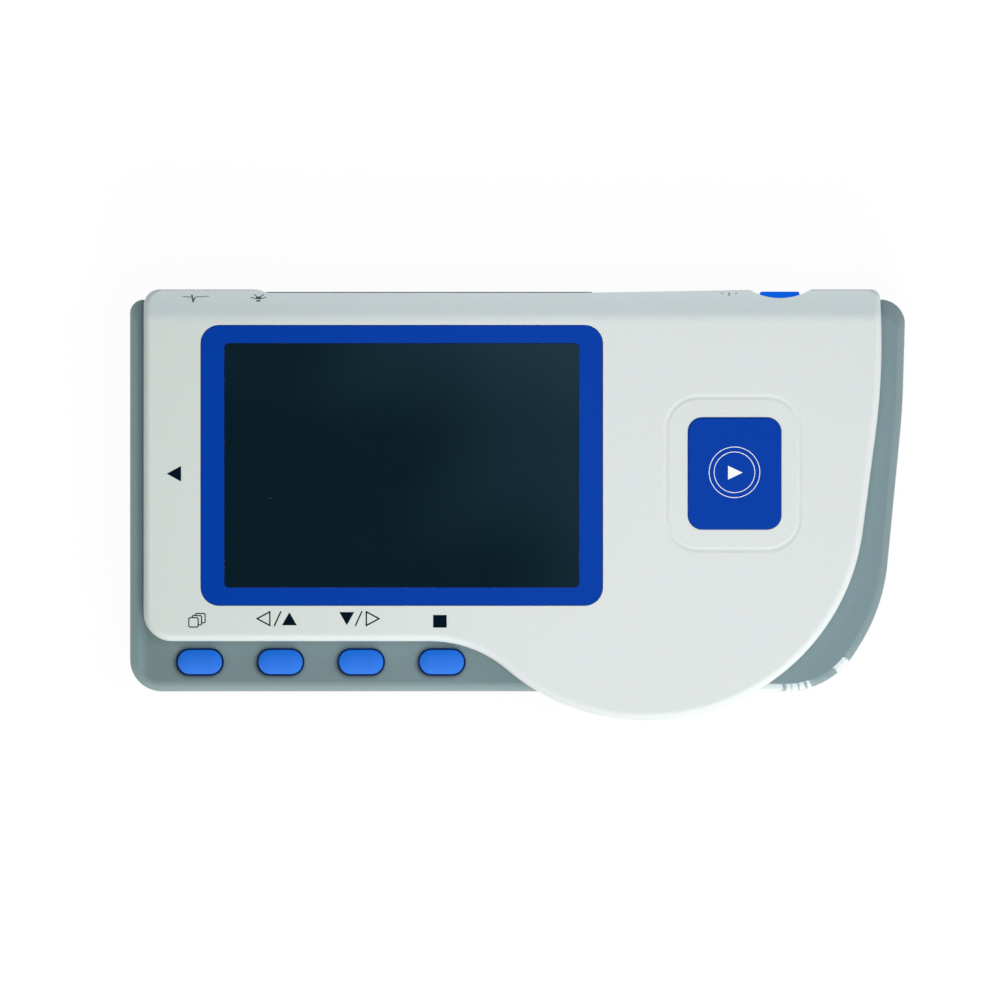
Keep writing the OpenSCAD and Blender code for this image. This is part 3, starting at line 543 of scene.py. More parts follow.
def grey_with_painted_light():
    """Glossy grey with painted light: lighter and cooler to the right as a painted shade of the light falling
    off to the left, paler on the rounded lower edge as a painted highlight, paler at the left end as painted
    light, and with a painted brown shadow round the keys.
    """
    material, tree, vector, broad, fine = new_plastic("grey_frame_plastic", 24)
    place_of = add(tree, "SeparateXYZ", {"Vector": vector}).outputs
    # painted shade: darker and less blue to the left, where the light falls off
    to_right = remap(tree, place_of["X"], 0.0, 1.0, -HALF_LENGTH * MM, HALF_LENGTH * MM)
    shade = blend(tree, to_right, linear(118, 138, 139), linear(127, 150, 156))
    # painted highlight: paler on the rounded lower edge, which faces the light
    rounded = remap(tree, place_of["Z"], 1.0, 0.0, (DECK - 0.55) * MM, (DECK - 0.1) * MM)
    lower_edge = remap(tree, place_of["Y"], 1.0, 0.0, (2.2 - BODY_BOTTOM) * MM, (2.6 - BODY_BOTTOM) * MM)
    shade = blend(tree, maths(tree, "MULTIPLY", rounded, lower_edge), shade, linear(141, 163, 164))
    # painted light: paler along the left end
    left_end = remap(tree, place_of["X"], 1.0, 0.0, (1.8 - HALF_LENGTH) * MM, (3.0 - HALF_LENGTH) * MM)
    shade = blend(tree, left_end, shade, linear(131, 156, 161))
    mottle = maths(tree, "ADD", broad, maths(tree, "MULTIPLY", fine, 0.5))
    shade = toned(tree, shade, mottle, 0.02, 0.2, 1.3)
    # painted brown shadow round the oval keys
    shade = blend(tree, painted_key_shadow(tree, place_of), shade, linear(42, 32, 34))
    finish_material(tree, {
        "Base Color": shade, "Roughness": remap(tree, broad, 0.24, 0.3, 0.0, 1.0), "Coat Weight": 1.0,
        "Coat Roughness": 0.015, "Specular IOR Level": 0.15,
    }, fine, 0.004, 0.03)
    return material


def cover_white():
    """White that is darker and a little greener towards the left end, partly a painted shade of the light
    falling off and partly a tint, and with painted cool light on the band along the top edge.
    """
    material, tree, vector, broad, fine = new_plastic("white_cover_plastic", 22)
    place_of = add(tree, "SeparateXYZ", {"Vector": vector}).outputs
    # darker and greener to the left: partly painted shade of the light falling off, partly a tint
    across = remap(tree, place_of["X"], 0.0, 1.0, COVER_LEFT * MM, 0.0)
    shade = blend(tree, across, linear(211, 220, 215), linear(218, 224, 223))
    # painted cool light on the band's slope
    on_slope = remap(tree, place_of["Y"], 0.0, 1.0, BAND_START * MM, (BAND_START + 2) * MM)
    shade = blend(tree, on_slope, shade, linear(223, 236, 238))
    mottle = maths(tree, "ADD", broad, maths(tree, "MULTIPLY", fine, 0.5))
    finish_material(tree, {
        "Base Color": toned(tree, shade, mottle, 0.01, 0.2, 1.3),
        "Roughness": remap(tree, broad, 0.34, 0.42, 0.0, 1.0),
        "Subsurface Weight": 0.04, "Subsurface Scale": 0.8 * MM,
    }, fine, 0.006, 0.05)
    return material


def key_blue():
    """Blue with painted light: a little paler towards the lower side of the oval keys, which faces the light.
    """
    material, tree, vector, broad, fine = new_plastic("blue_key_plastic", 20)
    y = add(tree, "SeparateXYZ", {"Vector": vector}).outputs["Y"]
    reach = OVAL_SIZE[1] / 2
    # painted light: paler towards the lower side of the key
    down = remap(tree, y, 1.0, 0.0, (OVAL_Y - reach) * MM, (OVAL_Y + reach) * MM)
    shade = blend(tree, down, linear(22, 108, 218), linear(60, 128, 236))
    finish_material(tree, {
        "Base Color": toned(tree, shade, maths(tree, "ADD", broad, fine), 0.015, 0.6, 1.4),
        "Roughness": remap(tree, broad, 0.3, 0.38), "Specular IOR Level": 0.12,
    }, fine, 0.005, 0.05)
    return material


DUST_PER_METRE = 260.0
DUST_RADIUS = (0.015, 0.03)     # where a speck starts and ends to fade, in cells of the pattern


def screen_material():
    """Dark display behind its window: navy with soft clouds, and a few specks of dust on it."""
    material, tree = new_material("screen")
    vector = coordinates(tree)
    place_of = add(tree, "SeparateXYZ", {"Vector": vector}).outputs
    lean = maths(tree, "ADD", remap(tree, place_of["X"], -0.1, 0.4, -0.047, 0.01),
                 remap(tree, place_of["Y"], -0.25, 0.12, -0.013, 0.02))
    clouds = remap(tree, noise(tree, vector, 38, 1), -0.25, 0.55)
    shade = blend(tree, maths(tree, "ADD", lean, clouds), linear(4, 28, 38), linear(27, 53, 66))
    cells = add(tree, "TexVoronoi", {"Vector": vector, "Scale": DUST_PER_METRE, "Randomness": 1.0})
    specks = remap(tree, cells.outputs["Distance"], 1.0, 0.0, *DUST_RADIUS)
    thinned = remap(tree, noise(tree, vector, 7, 1), 0.0, 1.0, 0.58, 0.66)
    shade = blend(tree, maths(tree, "MULTIPLY", specks, thinned), shade, linear(120, 132, 138))
    rough = remap(tree, noise(tree, vector, 12, 3), 0.08, 0.14)
    finish_material(tree, {"Base Color": shade, "Roughness": rough, "IOR": 1.49})
    return material


def board_material():
    """Green laminate with paler copper tracks under the mask."""
    material, tree = new_material("board")
    vector = coordinates(tree)
    cells = add(tree, "TexVoronoi", {"Vector": vector, "Scale": 420.0}, distance="MANHATTAN",
                feature="F1").outputs["Distance"]
    track = remap(tree, maths(tree, "PINGPONG", cells, 0.16), 0.0, 1.0, 0.075, 0.095)
    shade = blend(tree, track, linear(14, 96, 58), linear(40, 138, 86))
    speck = noise(tree, vector, 1.2, 3)
    shade = blend(tree, remap(tree, speck, 0.0, 0.3), shade, linear(9, 70, 44))
    rough = remap(tree, speck, 0.25, 0.45)
    finish_material(tree, {"Base Color": shade, "Roughness": rough}, track, 0.02, 0.4)
    return material


def ribbon_material():
    """Amber film with copper lines along it."""
    material, tree = new_material("ribbon")
    vector = coordinates(tree)
    lines = add(tree, "TexWave", {"Vector": vector, "Scale": 320.0}, bands_direction="Y").outputs["Fac"]
    shade = blend(tree, remap(tree, lines, 0.0, 1.0, 0.4, 0.6), linear(214, 150, 62), linear(150, 84, 30))
    finish_material(tree, {"Base Color": shade, "Roughness": remap(tree, lines, 0.25, 0.4)}, lines, 0.01, 0.3)
    return material


def cell_material():
    """Worn printed jacket: dark with pale bands across it."""
    material, tree = new_material("cell_jacket")
    vector = coordinates(tree)
    along = add(tree, "SeparateXYZ", {"Vector": vector}).outputs["X"]
    rings = maths(tree, "PINGPONG", along, 0.011)
    band = remap(tree, rings, 0.0, 1.0, 0.0082, 0.0084)
    shade = blend(tree, band, linear(52, 60, 66), linear(176, 182, 186))
    worn = noise(tree, vector, 3, 4)
    shade = blend(tree, remap(tree, worn, 0.0, 0.12), shade, linear(210, 214, 216))
    finish_material(tree, {"Base Color": shade, "Metallic": 0.5, "Roughness": remap(tree, worn, 0.28, 0.42)},
                    worn, 0.01, 0.15)
    return material


BRUSHED = (1, 40, 1)            # draws the grain out along X

WHITE = cover_white()
GREY = grey_with_painted_light()
GREY_CASE = moulded("grey_case_plastic", linear(120, 139, 144), (0.36, 0.46), mottle=0.015, grain=0.02,
                    grain_size=0.22, bump=0.3, depth=0.012)
BEZEL_BLUE = moulded("blue_frame_plastic", linear(0, 62, 168), (0.3, 0.36), mottle=0.01, grain=0.008,
                     bump=0.03, depth=0.004, Specular_IOR_Level=0.08)
KEY_BLUE = key_blue()
# painted light: the power key glows so that it stays bright down in its shaded scoop
POWER_BLUE = moulded("power_key_plastic", linear(0, 94, 220), (0.28, 0.36), mottle=0.012, grain=0.01,
                     bump=0.05, depth=0.005, Specular_IOR_Level=0.05, Emission_Color=linear(0, 92, 214),
                     Emission_Strength=0.6)


def ink(name, colour, rough=(0.45, 0.6), unevenness=(0.06, 0.05), **shader):
    mottle, grain = unevenness
    return moulded(name, colour, rough, mottle, 1.5, grain, 0.1, 0.1, 0.004, **shader)


INK = ink("dark_ink", linear(1, 19, 34), (0.5, 0.65), Specular_IOR_Level=0.06)
FAINT_INK = ink("faint_ink", linear(74, 86, 92))
WHITE_INK = ink("white_ink", linear(252, 254, 255), unevenness=(0.03, 0.03))
FOAM = moulded("gasket_foam", linear(36, 36, 38), (0.8, 0.95), grain=0.25, grain_size=0.5, bump=0.6,
               depth=0.08)
GLASS_BACK = moulded("lcd_back", linear(196, 200, 204), (0.12, 0.25), mottle=0.04, Metallic=0.6)
BRACKET = moulded("bracket_plastic", linear(44, 46, 48), (0.5, 0.65), grain=0.08, bump=0.4, depth=0.02)
SCREW = moulded("screw_steel", linear(196, 198, 202), (0.22, 0.36), mottle=0.05, mottle_size=2, grain=0.06,
                grain_size=0.15, bump=0.2, Metallic=1.0)
SWITCH = moulded("switch_plastic", linear(38, 38, 42), (0.4, 0.55), grain=0.08, bump=0.3, depth=0.01)
PLUNGER = moulded("plunger_plastic", linear(24, 24, 27), (0.4, 0.55), grain=0.08, bump=0.3, depth=0.01)
CHIP = moulded("chip_resin", linear(28, 28, 30), (0.5, 0.7), grain=0.15, grain_size=0.12, bump=0.5,
               depth=0.01)
SOCKET = moulded("connector_plastic", linear(228, 222, 205), (0.35, 0.5), grain=0.02, bump=0.2)
SPRING = moulded("spring_steel", linear(206, 208, 212), (0.2, 0.32), mottle=0.05, mottle_size=1.5, grain=0.05,
                 grain_size=0.1, bump=0.15, Metallic=1.0)
STEEL = moulded("electrode_steel", linear(198, 200, 203), (0.24, 0.4), mottle=0.03, mottle_size=6, grain=0.07,
                grain_size=0.5, bump=0.25, depth=0.006, stretch=BRUSHED, Metallic=1.0)
BRASS = moulded("contact_brass", linear(214, 176, 98), (0.25, 0.38), mottle=0.06, mottle_size=2, grain=0.06,
                grain_size=0.15, bump=0.2, Metallic=1.0)
SCREEN = screen_material()

SLOT_MATERIALS = {
    "white_plastic": WHITE, "grey_plastic": GREY, "grey_case_plastic": GREY_CASE,
    "blue_frame_plastic": BEZEL_BLUE, "dark_window": SCREEN, "blue_key_plastic": KEY_BLUE,
    "power_key_plastic": POWER_BLUE, "gasket_foam": FOAM, "lcd_glass": GLASS_BACK,
    "bracket_plastic": BRACKET, "flex_film": ribbon_material(), "screw_steel": SCREW,
    "switch_plastic": SWITCH, "plunger_plastic": PLUNGER, "board_laminate": board_material(),
    "chip_resin": CHIP, "connector_plastic": SOCKET, "cell_jacket": cell_material(),
    "spring_steel": SPRING, "electrode_steel": STEEL, "contact_brass": BRASS,
}


# ---- CAD nodes that stay: better normals and their procedural material ----


WELD_DISTANCE = 1e-6            # in metres


def dress_cad_nodes():
    for part in frame["record"]["subparts"]:
        node = frame["nodes"][part["node"]]
        node.data.materials.clear()
        node.data.materials.append(SLOT_MATERIALS[part["material_slot"]])
        node.data.shade_smooth()
        weld = node.modifiers.new("weld", "WELD")
        weld.merge_threshold = WELD_DISTANCE
        split = node.modifiers.new("split", "EDGE_SPLIT")
        split.split_angle = SHARP_ANGLE
        normals = node.modifiers.new("normals", "WEIGHTED_NORMAL")
        normals.weight = NORMAL_WEIGHT


# ---- White cover ----


BEND_END = BAND_START + BAND_RADIUS * math.sin(BAND_ANGLE)
BAND_CUT_LEVEL = ROOF_UNDERSIDE - 1.5     # only what lies above it follows the band


def band_fall(y):
    """How far the white cover's top lies below its flat face at this y."""
    if y <= BAND_START:
        return 0.0
    if y <= BEND_END:
        return BAND_RADIUS - math.sqrt(BAND_RADIUS ** 2 - (y - BAND_START) ** 2)
    run = y - BEND_END
    return BAND_RADIUS * (1 - math.cos(BAND_ANGLE)) + run * (math.tan(BAND_ANGLE) - BAND_EASE * run)


def bend_band(piece):
    """Splits the top along X and lowers it to the band's profile, edge rounding and all."""
    lines = [BAND_START + (BEND_END - BAND_START) * k / BEND_STEPS for k in range(BEND_STEPS + 1)]
    lines += [BEND_END + (HALF_HEIGHT - BEND_END) * k / SLOPE_STEPS for k in range(1, SLOPE_STEPS)]
    mesh = bmesh.new()
    mesh.from_mesh(piece.data)
    for y in lines:
        bmesh.ops.bisect_plane(mesh, geom=mesh.verts[:] + mesh.edges[:] + mesh.faces[:],
                               plane_co=(0, y, 0), plane_no=(0, 1, 0))
    for vertex in mesh.verts:
        if vertex.co.z > BAND_CUT_LEVEL:
            vertex.co.z -= band_fall(vertex.co.y)
    mesh.to_mesh(piece.data)
    mesh.free()


def ring_groove(corners, width, depth, level, steps=10):
    """Cutter for a groove with a round bottom; the outline is its middle line."""
    loops = []
    for k in range(steps + 1):
        t = k / steps
        z = level - depth * math.sin(math.pi * t)
        loops.append([(p.x, p.y, z) for p in outline(corners, width * (t - 0.5))])
    loops.append([(p.x, p.y, level + PAST) for p in outline(corners, width / 2)])
    loops.append([(p.x, p.y, level + PAST) for p in outline(corners, -width / 2)])
    mesh = bmesh.new()
    rows = [[mesh.verts.new(p) for p in loop] for loop in loops]
    for a, b in zip(rows, rows[1:] + rows[:1]):
        for i in range(len(a)):
            mesh.faces.new((a[i - 1], a[i], b[i], b[i - 1]))
    return new_object("groove", mesh)


def recess_cutter(steps=16):
    """Long shallow recess in the top edge: rounded shoulder at its left end, long run-out at its right."""
    floor_y = HALF_HEIGHT - RECESS_DEPTH
    points = []
    for k in range(steps + 1):
        t = k / steps
        points.append(Vector((RECESS[0] - RECESS_RUNS[0] * t, floor_y + RECESS_DEPTH * (1 - (1 - t) ** 2))))
    right_end = RECESS[1] + RECESS_RUNS[1]
    points.append(Vector((points[-1].x, HALF_HEIGHT + PAST)))
    points.append(Vector((right_end, HALF_HEIGHT + PAST)))
    points.append(Vector((right_end, HALF_HEIGHT)))
    points.append(Vector((RECESS[1], floor_y)))
    return solid("recess", [(points, 0), (points, FACE)])


def scoop_cutter(x):
    """Shallow round finger scoop in the top edge."""
    radius = (SCOOP_WIDTH ** 2 / 4 + SCOOP_DEPTH ** 2) / (2 * SCOOP_DEPTH)
    return rod((x, HALF_HEIGHT - SCOOP_DEPTH + radius), radius, "z", 0, FACE + PAST, 256)


def lead_room(radius, low_y, high_y):
    lead = middle("lead_socket")
    return rod((lead.x, lead.z), radius, "y", low_y, high_y)


def usb_room(high_y):
    low, high = span("usb_shell")
    return block((low.x - SLIP, SKIRT_INNER - 2 * PAST, low.z - SLIP), (high.x + SLIP, high_y, high.z + SLIP))


def power_key_room(margin, low_y, high_y):
    x = middle("power_key").x
    width, height = POWER_SIZE[0] / 2 + margin, POWER_SIZE[1] / 2 + margin
    return block((x - width, low_y, POWER_Z - height), (x + width, high_y, POWER_Z + height))


def hollow_cover(cover):
    """Takes out the room behind the face and behind the band, and the room in which the grey body lies."""
    inner = prism(COVER, PARTING - PAST, ROOF_UNDERSIDE, COVER_WALL)
    keep(inner, block((-HALF_LENGTH, -HALF_HEIGHT, 0), (HALF_LENGTH, BAND_START, FACE)))
    band_room = prism(COVER, PARTING - PAST, ROOF_UNDERSIDE - BAND_ROOM_DROP, COVER_WALL)
    keep(band_room, block((-HALF_LENGTH, -HALF_HEIGHT, 0), (HALF_LENGTH, SKIRT_INNER, FACE)))
    body_room = block((-HALF_LENGTH, -BODY_BOTTOM - SLIP, 0), (HALF_LENGTH, SKIRT_INNER, DECK))
    cut(cover, inner, band_room, body_room)


def cut_face(cover):
    """Pocket and opening for the display, hole for the start key and the groove round it."""
    display = middle("display_frame")
    low, high = span("display_frame")
    size = (high.x - low.x, high.y - low.y)
    pocket = box_corners(display.x, display.y, *grown(size, BEZEL_GAP), BEZEL_RADIUS + BEZEL_GAP)
    opening = box_corners(display.x, display.y, size[0] - 2 * BEZEL_COVERS[0], size[1] - 2 * BEZEL_COVERS[1],
                          WINDOW_RADIUS)
    key = middle("start_key")
    hole = box_corners(key.x, key.y, *grown(START_SIZE, START_GAP), START_RADIUS + START_GAP)
    groove = box_corners(*GROOVE_CENTRE, *GROOVE_SIZE, GROOVE_RADIUS)
    below = ROOF_UNDERSIDE - PAST
    cut(cover,
        solid("pocket", flared_rings(pocket, low.z, FACE)),
        prism(opening, below, FACE),
        solid("hole", flared_rings(hole, below, FACE, START_FLARE, 6, START_FLARE_DEPTH)),
        ring_groove(groove, GROOVE_WIDTH, GROOVE_DEPTH, FACE))


def cut_top_edge(cover):
    """Recess, rail notch and finger scoop, and the holes for the power key and the sockets."""
    rail_notch = block((RAIL[0] - SLIP, SKIRT_INNER - PAST, 0),
                       (RAIL[1] + SLIP, HALF_HEIGHT + PAST, RAIL_NOTCH_TOP))
    behind, before = SKIRT_INNER - PAST, HALF_HEIGHT + PAST
    cut(cover, recess_cutter(), rail_notch, scoop_cutter(middle("power_key").x),
        power_key_room(KEY_GAP, behind, before), lead_room(LEAD_HOLE_RADIUS, behind, before),
        usb_room(before))


def white_cover():
    cover = solid("cover", rounded_rings(COVER, PARTING, FACE, COVER_RIM, COVER_RIM_DROP))
    bend_band(cover)
    hollow_cover(cover)
    cut_face(cover)
    cut_top_edge(cover)
    return place(cover, "white_cover", WHITE, node="front_cover")


# ---- Grey front frame with the key holes ----


START_ROOM = 2                  # round the start key
POWER_ROOM = 1.1                # round the power key's cap, for its flange
LEFT_SEAT = (1, 0.8)            # how far the left electrode's seat reaches out and in from the end face


def oval_corners(node, gap=0.0):
    size = grown(OVAL_SIZE, gap)
    return box_corners(middle(node).x, OVAL_Y, *size, size[1] / 2 - OVAL_FLAT)


def front_frame():
    below, above = DECK_UNDERSIDE - PAST, DECK + PAST
    shell = solid("shell", rounded_rings(BODY, PARTING, DECK, BODY_RIM, BODY_RIM_DROP, 10, flat=0.6))
    cut(shell, prism(BODY, PARTING - PAST, DECK_UNDERSIDE, BODY_WALL))
    cut(shell, block((COVER_LEFT - SLIP, SKIRT_INNER, PARTING - PAST),
                     (COVER_RIGHT + SLIP, HALF_HEIGHT, above)))
    low, high = span("lcd_panel")
    cut(shell, block((low.x - LCD_ROOM, low.y - LCD_ROOM, below),
                     (high.x + LCD_ROOM, high.y + LCD_ROOM, above)))
    key = middle("start_key")
    cut(shell, prism(box_corners(key.x, key.y, *grown(START_SIZE, START_ROOM), START_ROOM), below, above))
    for node in OVAL_KEYS:
        cut(shell, solid("hole", flared_rings(oval_corners(node, OVAL_GAP), below, DECK)))
    low, high = span("left_electrode")
    cut(shell, block((low.x - LEFT_SEAT[0], low.y - SLIP, low.z - SLIP),
                     (low.x + LEFT_SEAT[1], high.y + SLIP, high.z + SLIP)))
    behind = SKIRT_INNER - 2 * PAST
    cut(shell, lead_room(LEAD_HOLE_RADIUS + SLIP, behind, HALF_HEIGHT), usb_room(HALF_HEIGHT),
        power_key_room(POWER_ROOM, behind, HALF_HEIGHT))
    return place(shell, "grey_front_frame", GREY, node="front_frame")


# ---- Display and keys ----


BEZEL_EDGE = 0.2
PANE_EDGE = 0.08
PANE_RING = 0.4                 # width of the ring of faces just inside the pane's rounded edge


def display():
    low, high = span("display_frame")
    centre = middle("display_frame")
    outer = box_corners(centre.x, centre.y, high.x - low.x, high.y - low.y, BEZEL_RADIUS)
    bezel = solid("bezel", rounded_rings(outer, low.z, high.z, BEZEL_EDGE, BEZEL_EDGE, 4))
    back, front = span("display_window")
    glass = (front.x - back.x, front.y - back.y)
    opening = box_corners(centre.x, centre.y, *grown(glass, WINDOW_GAP), WINDOW_RADIUS)
    cut(bezel, prism(opening, low.z - PAST, high.z + PAST))
    place(bezel, "blue_display_frame", BEZEL_BLUE, node="display_frame")

    corners = box_corners(centre.x, centre.y, *glass, WINDOW_RADIUS)
    rings = rounded_rings(corners, back.z, front.z, PANE_EDGE, PANE_EDGE, 3)
    pane = solid("pane", rings + [(outline(corners, PANE_RING), front.z)])
    place(pane, "dark_window", SCREEN, node="display_window")


CAP_FOOT = 0.4                  # how far a cap reaches below the underside that it comes through
OVAL_EDGE = 0.12
OVAL_RISE = 0.36                # height of the crown
OVAL_CROWN = 0.25               # how far from the middle line the crown ends
OVAL_FLANGE_RADIUS = 1.5
OVAL_STEM = 1.5
START_EDGE = 0.3
START_FLANGE_REACH = 1
START_STEM = 2.5
POWER_EDGE = 0.35
POWER_STEM = 1.2


def oval_key(node):
    """Key with a soft edge and a low crown, on the flange and stem that its CAD node has."""
    low, high = span(node)
    corners = oval_corners(node)
    foot = high.z - OVAL_RISE
    rings = rounded_rings(corners, DECK_UNDERSIDE - CAP_FOOT, foot, OVAL_EDGE, OVAL_EDGE, 6)
    reach = OVAL_SIZE[1] / 2 - OVAL_CROWN
    for t in (0.12, 0.25, 0.4, 0.6, 0.8, 1.0):
        rings.append((outline(corners, OVAL_EDGE + reach * t), high.z - OVAL_RISE * (1 - t) ** 2))
    key = solid(node, rings)
    x = middle(node).x
    flange = box_corners(x, OVAL_Y, *grown(OVAL_SIZE, FLANGE_REACH), OVAL_FLANGE_RADIUS)
    join(key, prism(flange, DECK_UNDERSIDE - 1.1, DECK_UNDERSIDE - FLANGE_GAP))
    join(key, rod((x, OVAL_Y), OVAL_STEM, "z", low.z, DECK_UNDERSIDE - 0.8))
    place(key, node + "_cap", KEY_BLUE, body=node + "_body", node=node)


def start_key():
    low, high = span("start_key")
    centre = middle("start_key")
    corners = box_corners(centre.x, centre.y, *START_SIZE, START_RADIUS)
    key = solid("key", rounded_rings(corners, ROOF_UNDERSIDE - CAP_FOOT, high.z - START_SINK, START_EDGE,
                                     START_EDGE, 8))
    flange = box_corners(centre.x, centre.y, *grown(START_SIZE, START_FLANGE_REACH), START_RADIUS)
    join(key, prism(flange, ROOF_UNDERSIDE - 1.2, ROOF_UNDERSIDE - FLANGE_GAP))
    join(key, rod((centre.x, centre.y), START_STEM, "z", low.z, ROOF_UNDERSIDE - 0.9))
    place(key, "start_key_cap", BEZEL_BLUE, body="start_key_body",
          node="start_key")


def power_key():
    low, high = span("power_key")
    face = high.y
    key = power_key_room(0, SKIRT_INNER - CAP_FOOT, face)
    mesh = bmesh.new()
    mesh.from_mesh(key.data)
    outer = [e for e in mesh.edges if any(v.co.y > face - 0.01 for v in e.verts)]
    bmesh.ops.bevel(mesh, geom=outer, offset=POWER_EDGE, segments=5, profile=0.5, affect="EDGES")
    mesh.to_mesh(key.data)
    mesh.free()
    join(key, power_key_room(FLANGE_REACH, SKIRT_INNER - 1.1, SKIRT_INNER - FLANGE_GAP))
    join(key, rod((middle("power_key").x, POWER_Z), POWER_STEM, "y", low.y, SKIRT_INNER - 0.8))
    place(key, "power_key_cap", POWER_BLUE, body="power_key_body",
          node="power_key")


# ---- Printed generic signs ----

LINE = 0.22
PAGE_LINE = 0.8 * LINE
RING_LINE = 0.11
KEY_SIGN_Y = -18.35             # row of signs above the oval keys
EDGE_SIGN_Y = 33.35             # row of signs on the band


def printed(name, shapes, height_at, material, body=HOUSING):
    """Flat ink on a surface: each shape is a closed list of (x, y); height_at gives the surface's level."""
    mesh = bmesh.new()
    for shape in shapes:
        add_rings(mesh, [[(x, y, height_at(y) + h) for x, y in shape]
                         for h in (-INK_THICKNESS, INK_THICKNESS * 0.9)])
    place(new_object(name, mesh), name, material, body=body)


def stroke(points, width, closed=False):
    """Quads along a line, one for each stretch."""
    path = [Vector(p) for p in points]
    pairs = list(zip(path, path[1:] + path[:1])) if closed else list(zip(path, path[1:]))
    shapes = []
    for a, b in pairs:
        along = unit(b - a) * width / 2
        side = right_of(unit(b - a)) * width / 2
        quad = (a - along + side, b + along + side, b + along - side, a - along - side)
        shapes.append([tuple(p) for p in quad])
    return shapes


def ring(x, y, radius, width, sides=96):
    """Quads round a circle."""
    shapes = []
    for k in range(sides):
        a, b = (2 * math.pi * (k + s) / sides for s in (0, 1))
        inner, outer = radius - width / 2, radius + width / 2
        shapes.append([(x + r * math.cos(t), y + r * math.sin(t)) for r, t in
                       ((inner, a), (outer, a), (outer, b), (inner, b))])
    return shapes


def moved(shapes, x, y):
    return [[(px + x, py + y) for px, py in shape] for shape in shapes]


def on_face(y):
    return FACE


def on_band(y):
    return FACE - band_fall(y)


def pages_shapes():
    """Three cut-cornered pages, one behind the other."""
    side, clip = 0.75, 0.16
    step_x, step_y = 0.56, 0.34
    page = [(-side + clip, side), (side - clip, side), (side, side - clip), (side, clip - side),
            (side - clip, -side), (clip - side, -side), (-side, clip - side), (-side, side - clip)]
    behind = [(-side, side - step_y + clip / 2), (-side, side - clip / 2), *page[:5], (side - step_x, -side)]
    shapes = stroke(page, PAGE_LINE, closed=True)
    for k in (1, 2):
        shapes += moved(stroke(behind, PAGE_LINE), k * step_x, k * step_y)
    return shapes


def face_signs():
    """Signs at the left end and above the oval keys."""
    arrow = [(1.15, 1.27), (1.15, -1.27), (-1.15, 0)]
    printed("left_arrow_sign", moved([arrow], -55.34, 5.0), on_face, INK)
    printed("pages_sign", moved(pages_shapes(), -52.2, -18.95), on_face, INK)

    slash = stroke([(-0.5, -1.1), (0.5, 1.1)], LINE)
    hollow = [(1.0, 1.1), (1.0, -1.1), (-1.05, 0)]
    filled = [(0, 1.05), (1.2, -1.05), (-1.2, -1.05)]
    left = moved(stroke(hollow, LINE, closed=True), -40.9, KEY_SIGN_Y)
    up = moved([filled], -36.75, KEY_SIGN_Y - 0.02)
    printed("left_up_sign", left + moved(slash, -38.65, KEY_SIGN_Y) + up, on_face, INK)
    down = moved([[(x, -y) for x, y in reversed(filled)]], -27.5, KEY_SIGN_Y)
    right = moved(stroke([(-x, y) for x, y in hollow], LINE, closed=True), -23.35, KEY_SIGN_Y)
    printed("right_down_sign", down + moved(slash, -25.6, KEY_SIGN_Y) + right, on_face, INK)
    square = [(1.1, 1.02), (1.1, -1.02), (-1.1, -1.02), (-1.1, 1.02)]
    printed("stop_sign", moved([square], -12.5, -18.78), on_face, INK)


def edge_signs():
    """Small wave, plug and power signs along the top edge."""
    wave = stroke([(-2.1, 0.26), (-1.4, 0.12), (-1.2, 0.18), (-0.9, 0.05), (-0.55, 0.36), (-0.38, -0.58),
                   (0.0, 0.1), (0.3, 0.24), (0.8, 0.16), (2.1, 0.26)], 0.1)
    wave += stroke([(-0.62, 0.38), (-0.42, -0.6)], 0.26)
    wave += stroke([(-0.42, -0.55), (-0.15, 0.0)], 0.16)
    printed("wave_sign", moved(wave, -51.85, EDGE_SIGN_Y), on_band, FAINT_INK)
    plug = stroke([(-1.2, 0.1), (-0.5, -0.12), (0.5, -0.12), (1.2, 0.1)], 0.13)
    plug += stroke([(-0.62, 0.5), (-0.2, 0.1), (0.2, 0.1), (0.8, 0.5)], 0.14)
    plug += [[(-0.38, 0.2), (0.4, 0.2), (0.4, -0.22), (-0.38, -0.22)],
             [(-0.34, -0.36), (0.3, -0.36), (0.3, -0.6), (-0.34, -0.6)]]
    printed("plug_sign", moved(plug, -41.75, EDGE_SIGN_Y), on_band, FAINT_INK)
    power = stroke([(-1.3, 0.18), (-1.0, 0.0)], 0.1)
    power += stroke([(1.3, 0.18), (1.0, 0.0)], 0.1)
    power += stroke([(0, 0.15), (0, -0.25)], 0.16)
    printed("power_sign", moved(power, 34.1, 34.0), on_band, FAINT_INK)


def start_sign():
    """Two rings round a triangle on the start key."""
    key = middle("start_key")
    top = span("start_key")[1].z - START_SINK
    shapes = []
    for radius in (4.08, 3.28):
        shapes += ring(key.x, key.y + 0.18, radius, RING_LINE)
    shapes += moved([[(-1.05, 1.12), (1.3, 0), (-1.05, -1.12)]], key.x, key.y + 0.12)
    printed("start_sign", shapes, lambda y: top, WHITE_INK, body="start_key_body")


# ---- Studio ----

PHOTO_SCALE = 0.1611            # millimetres of the white face in a pixel
PHOTO_SIZE = 1000
PHOTO_CENTRE = (-2.82, 0.765)   # what the middle of the picture shows, in millimetres
CAMERA_DISTANCE = 4.0
SENSOR = 36


def camera():
    """Far above the face, which it shows at the photograph's scale."""
    data = bpy.data.cameras.new("camera")
    data.sensor_width = SENSOR
    data.lens = SENSOR * CAMERA_DISTANCE / (PHOTO_SCALE * PHOTO_SIZE * MM)
    made = add_object("camera", data)
    made.location = (PHOTO_CENTRE[0] * MM, PHOTO_CENTRE[1] * MM, CAMERA_DISTANCE + FACE * MM)
    bpy.context.scene.camera = made


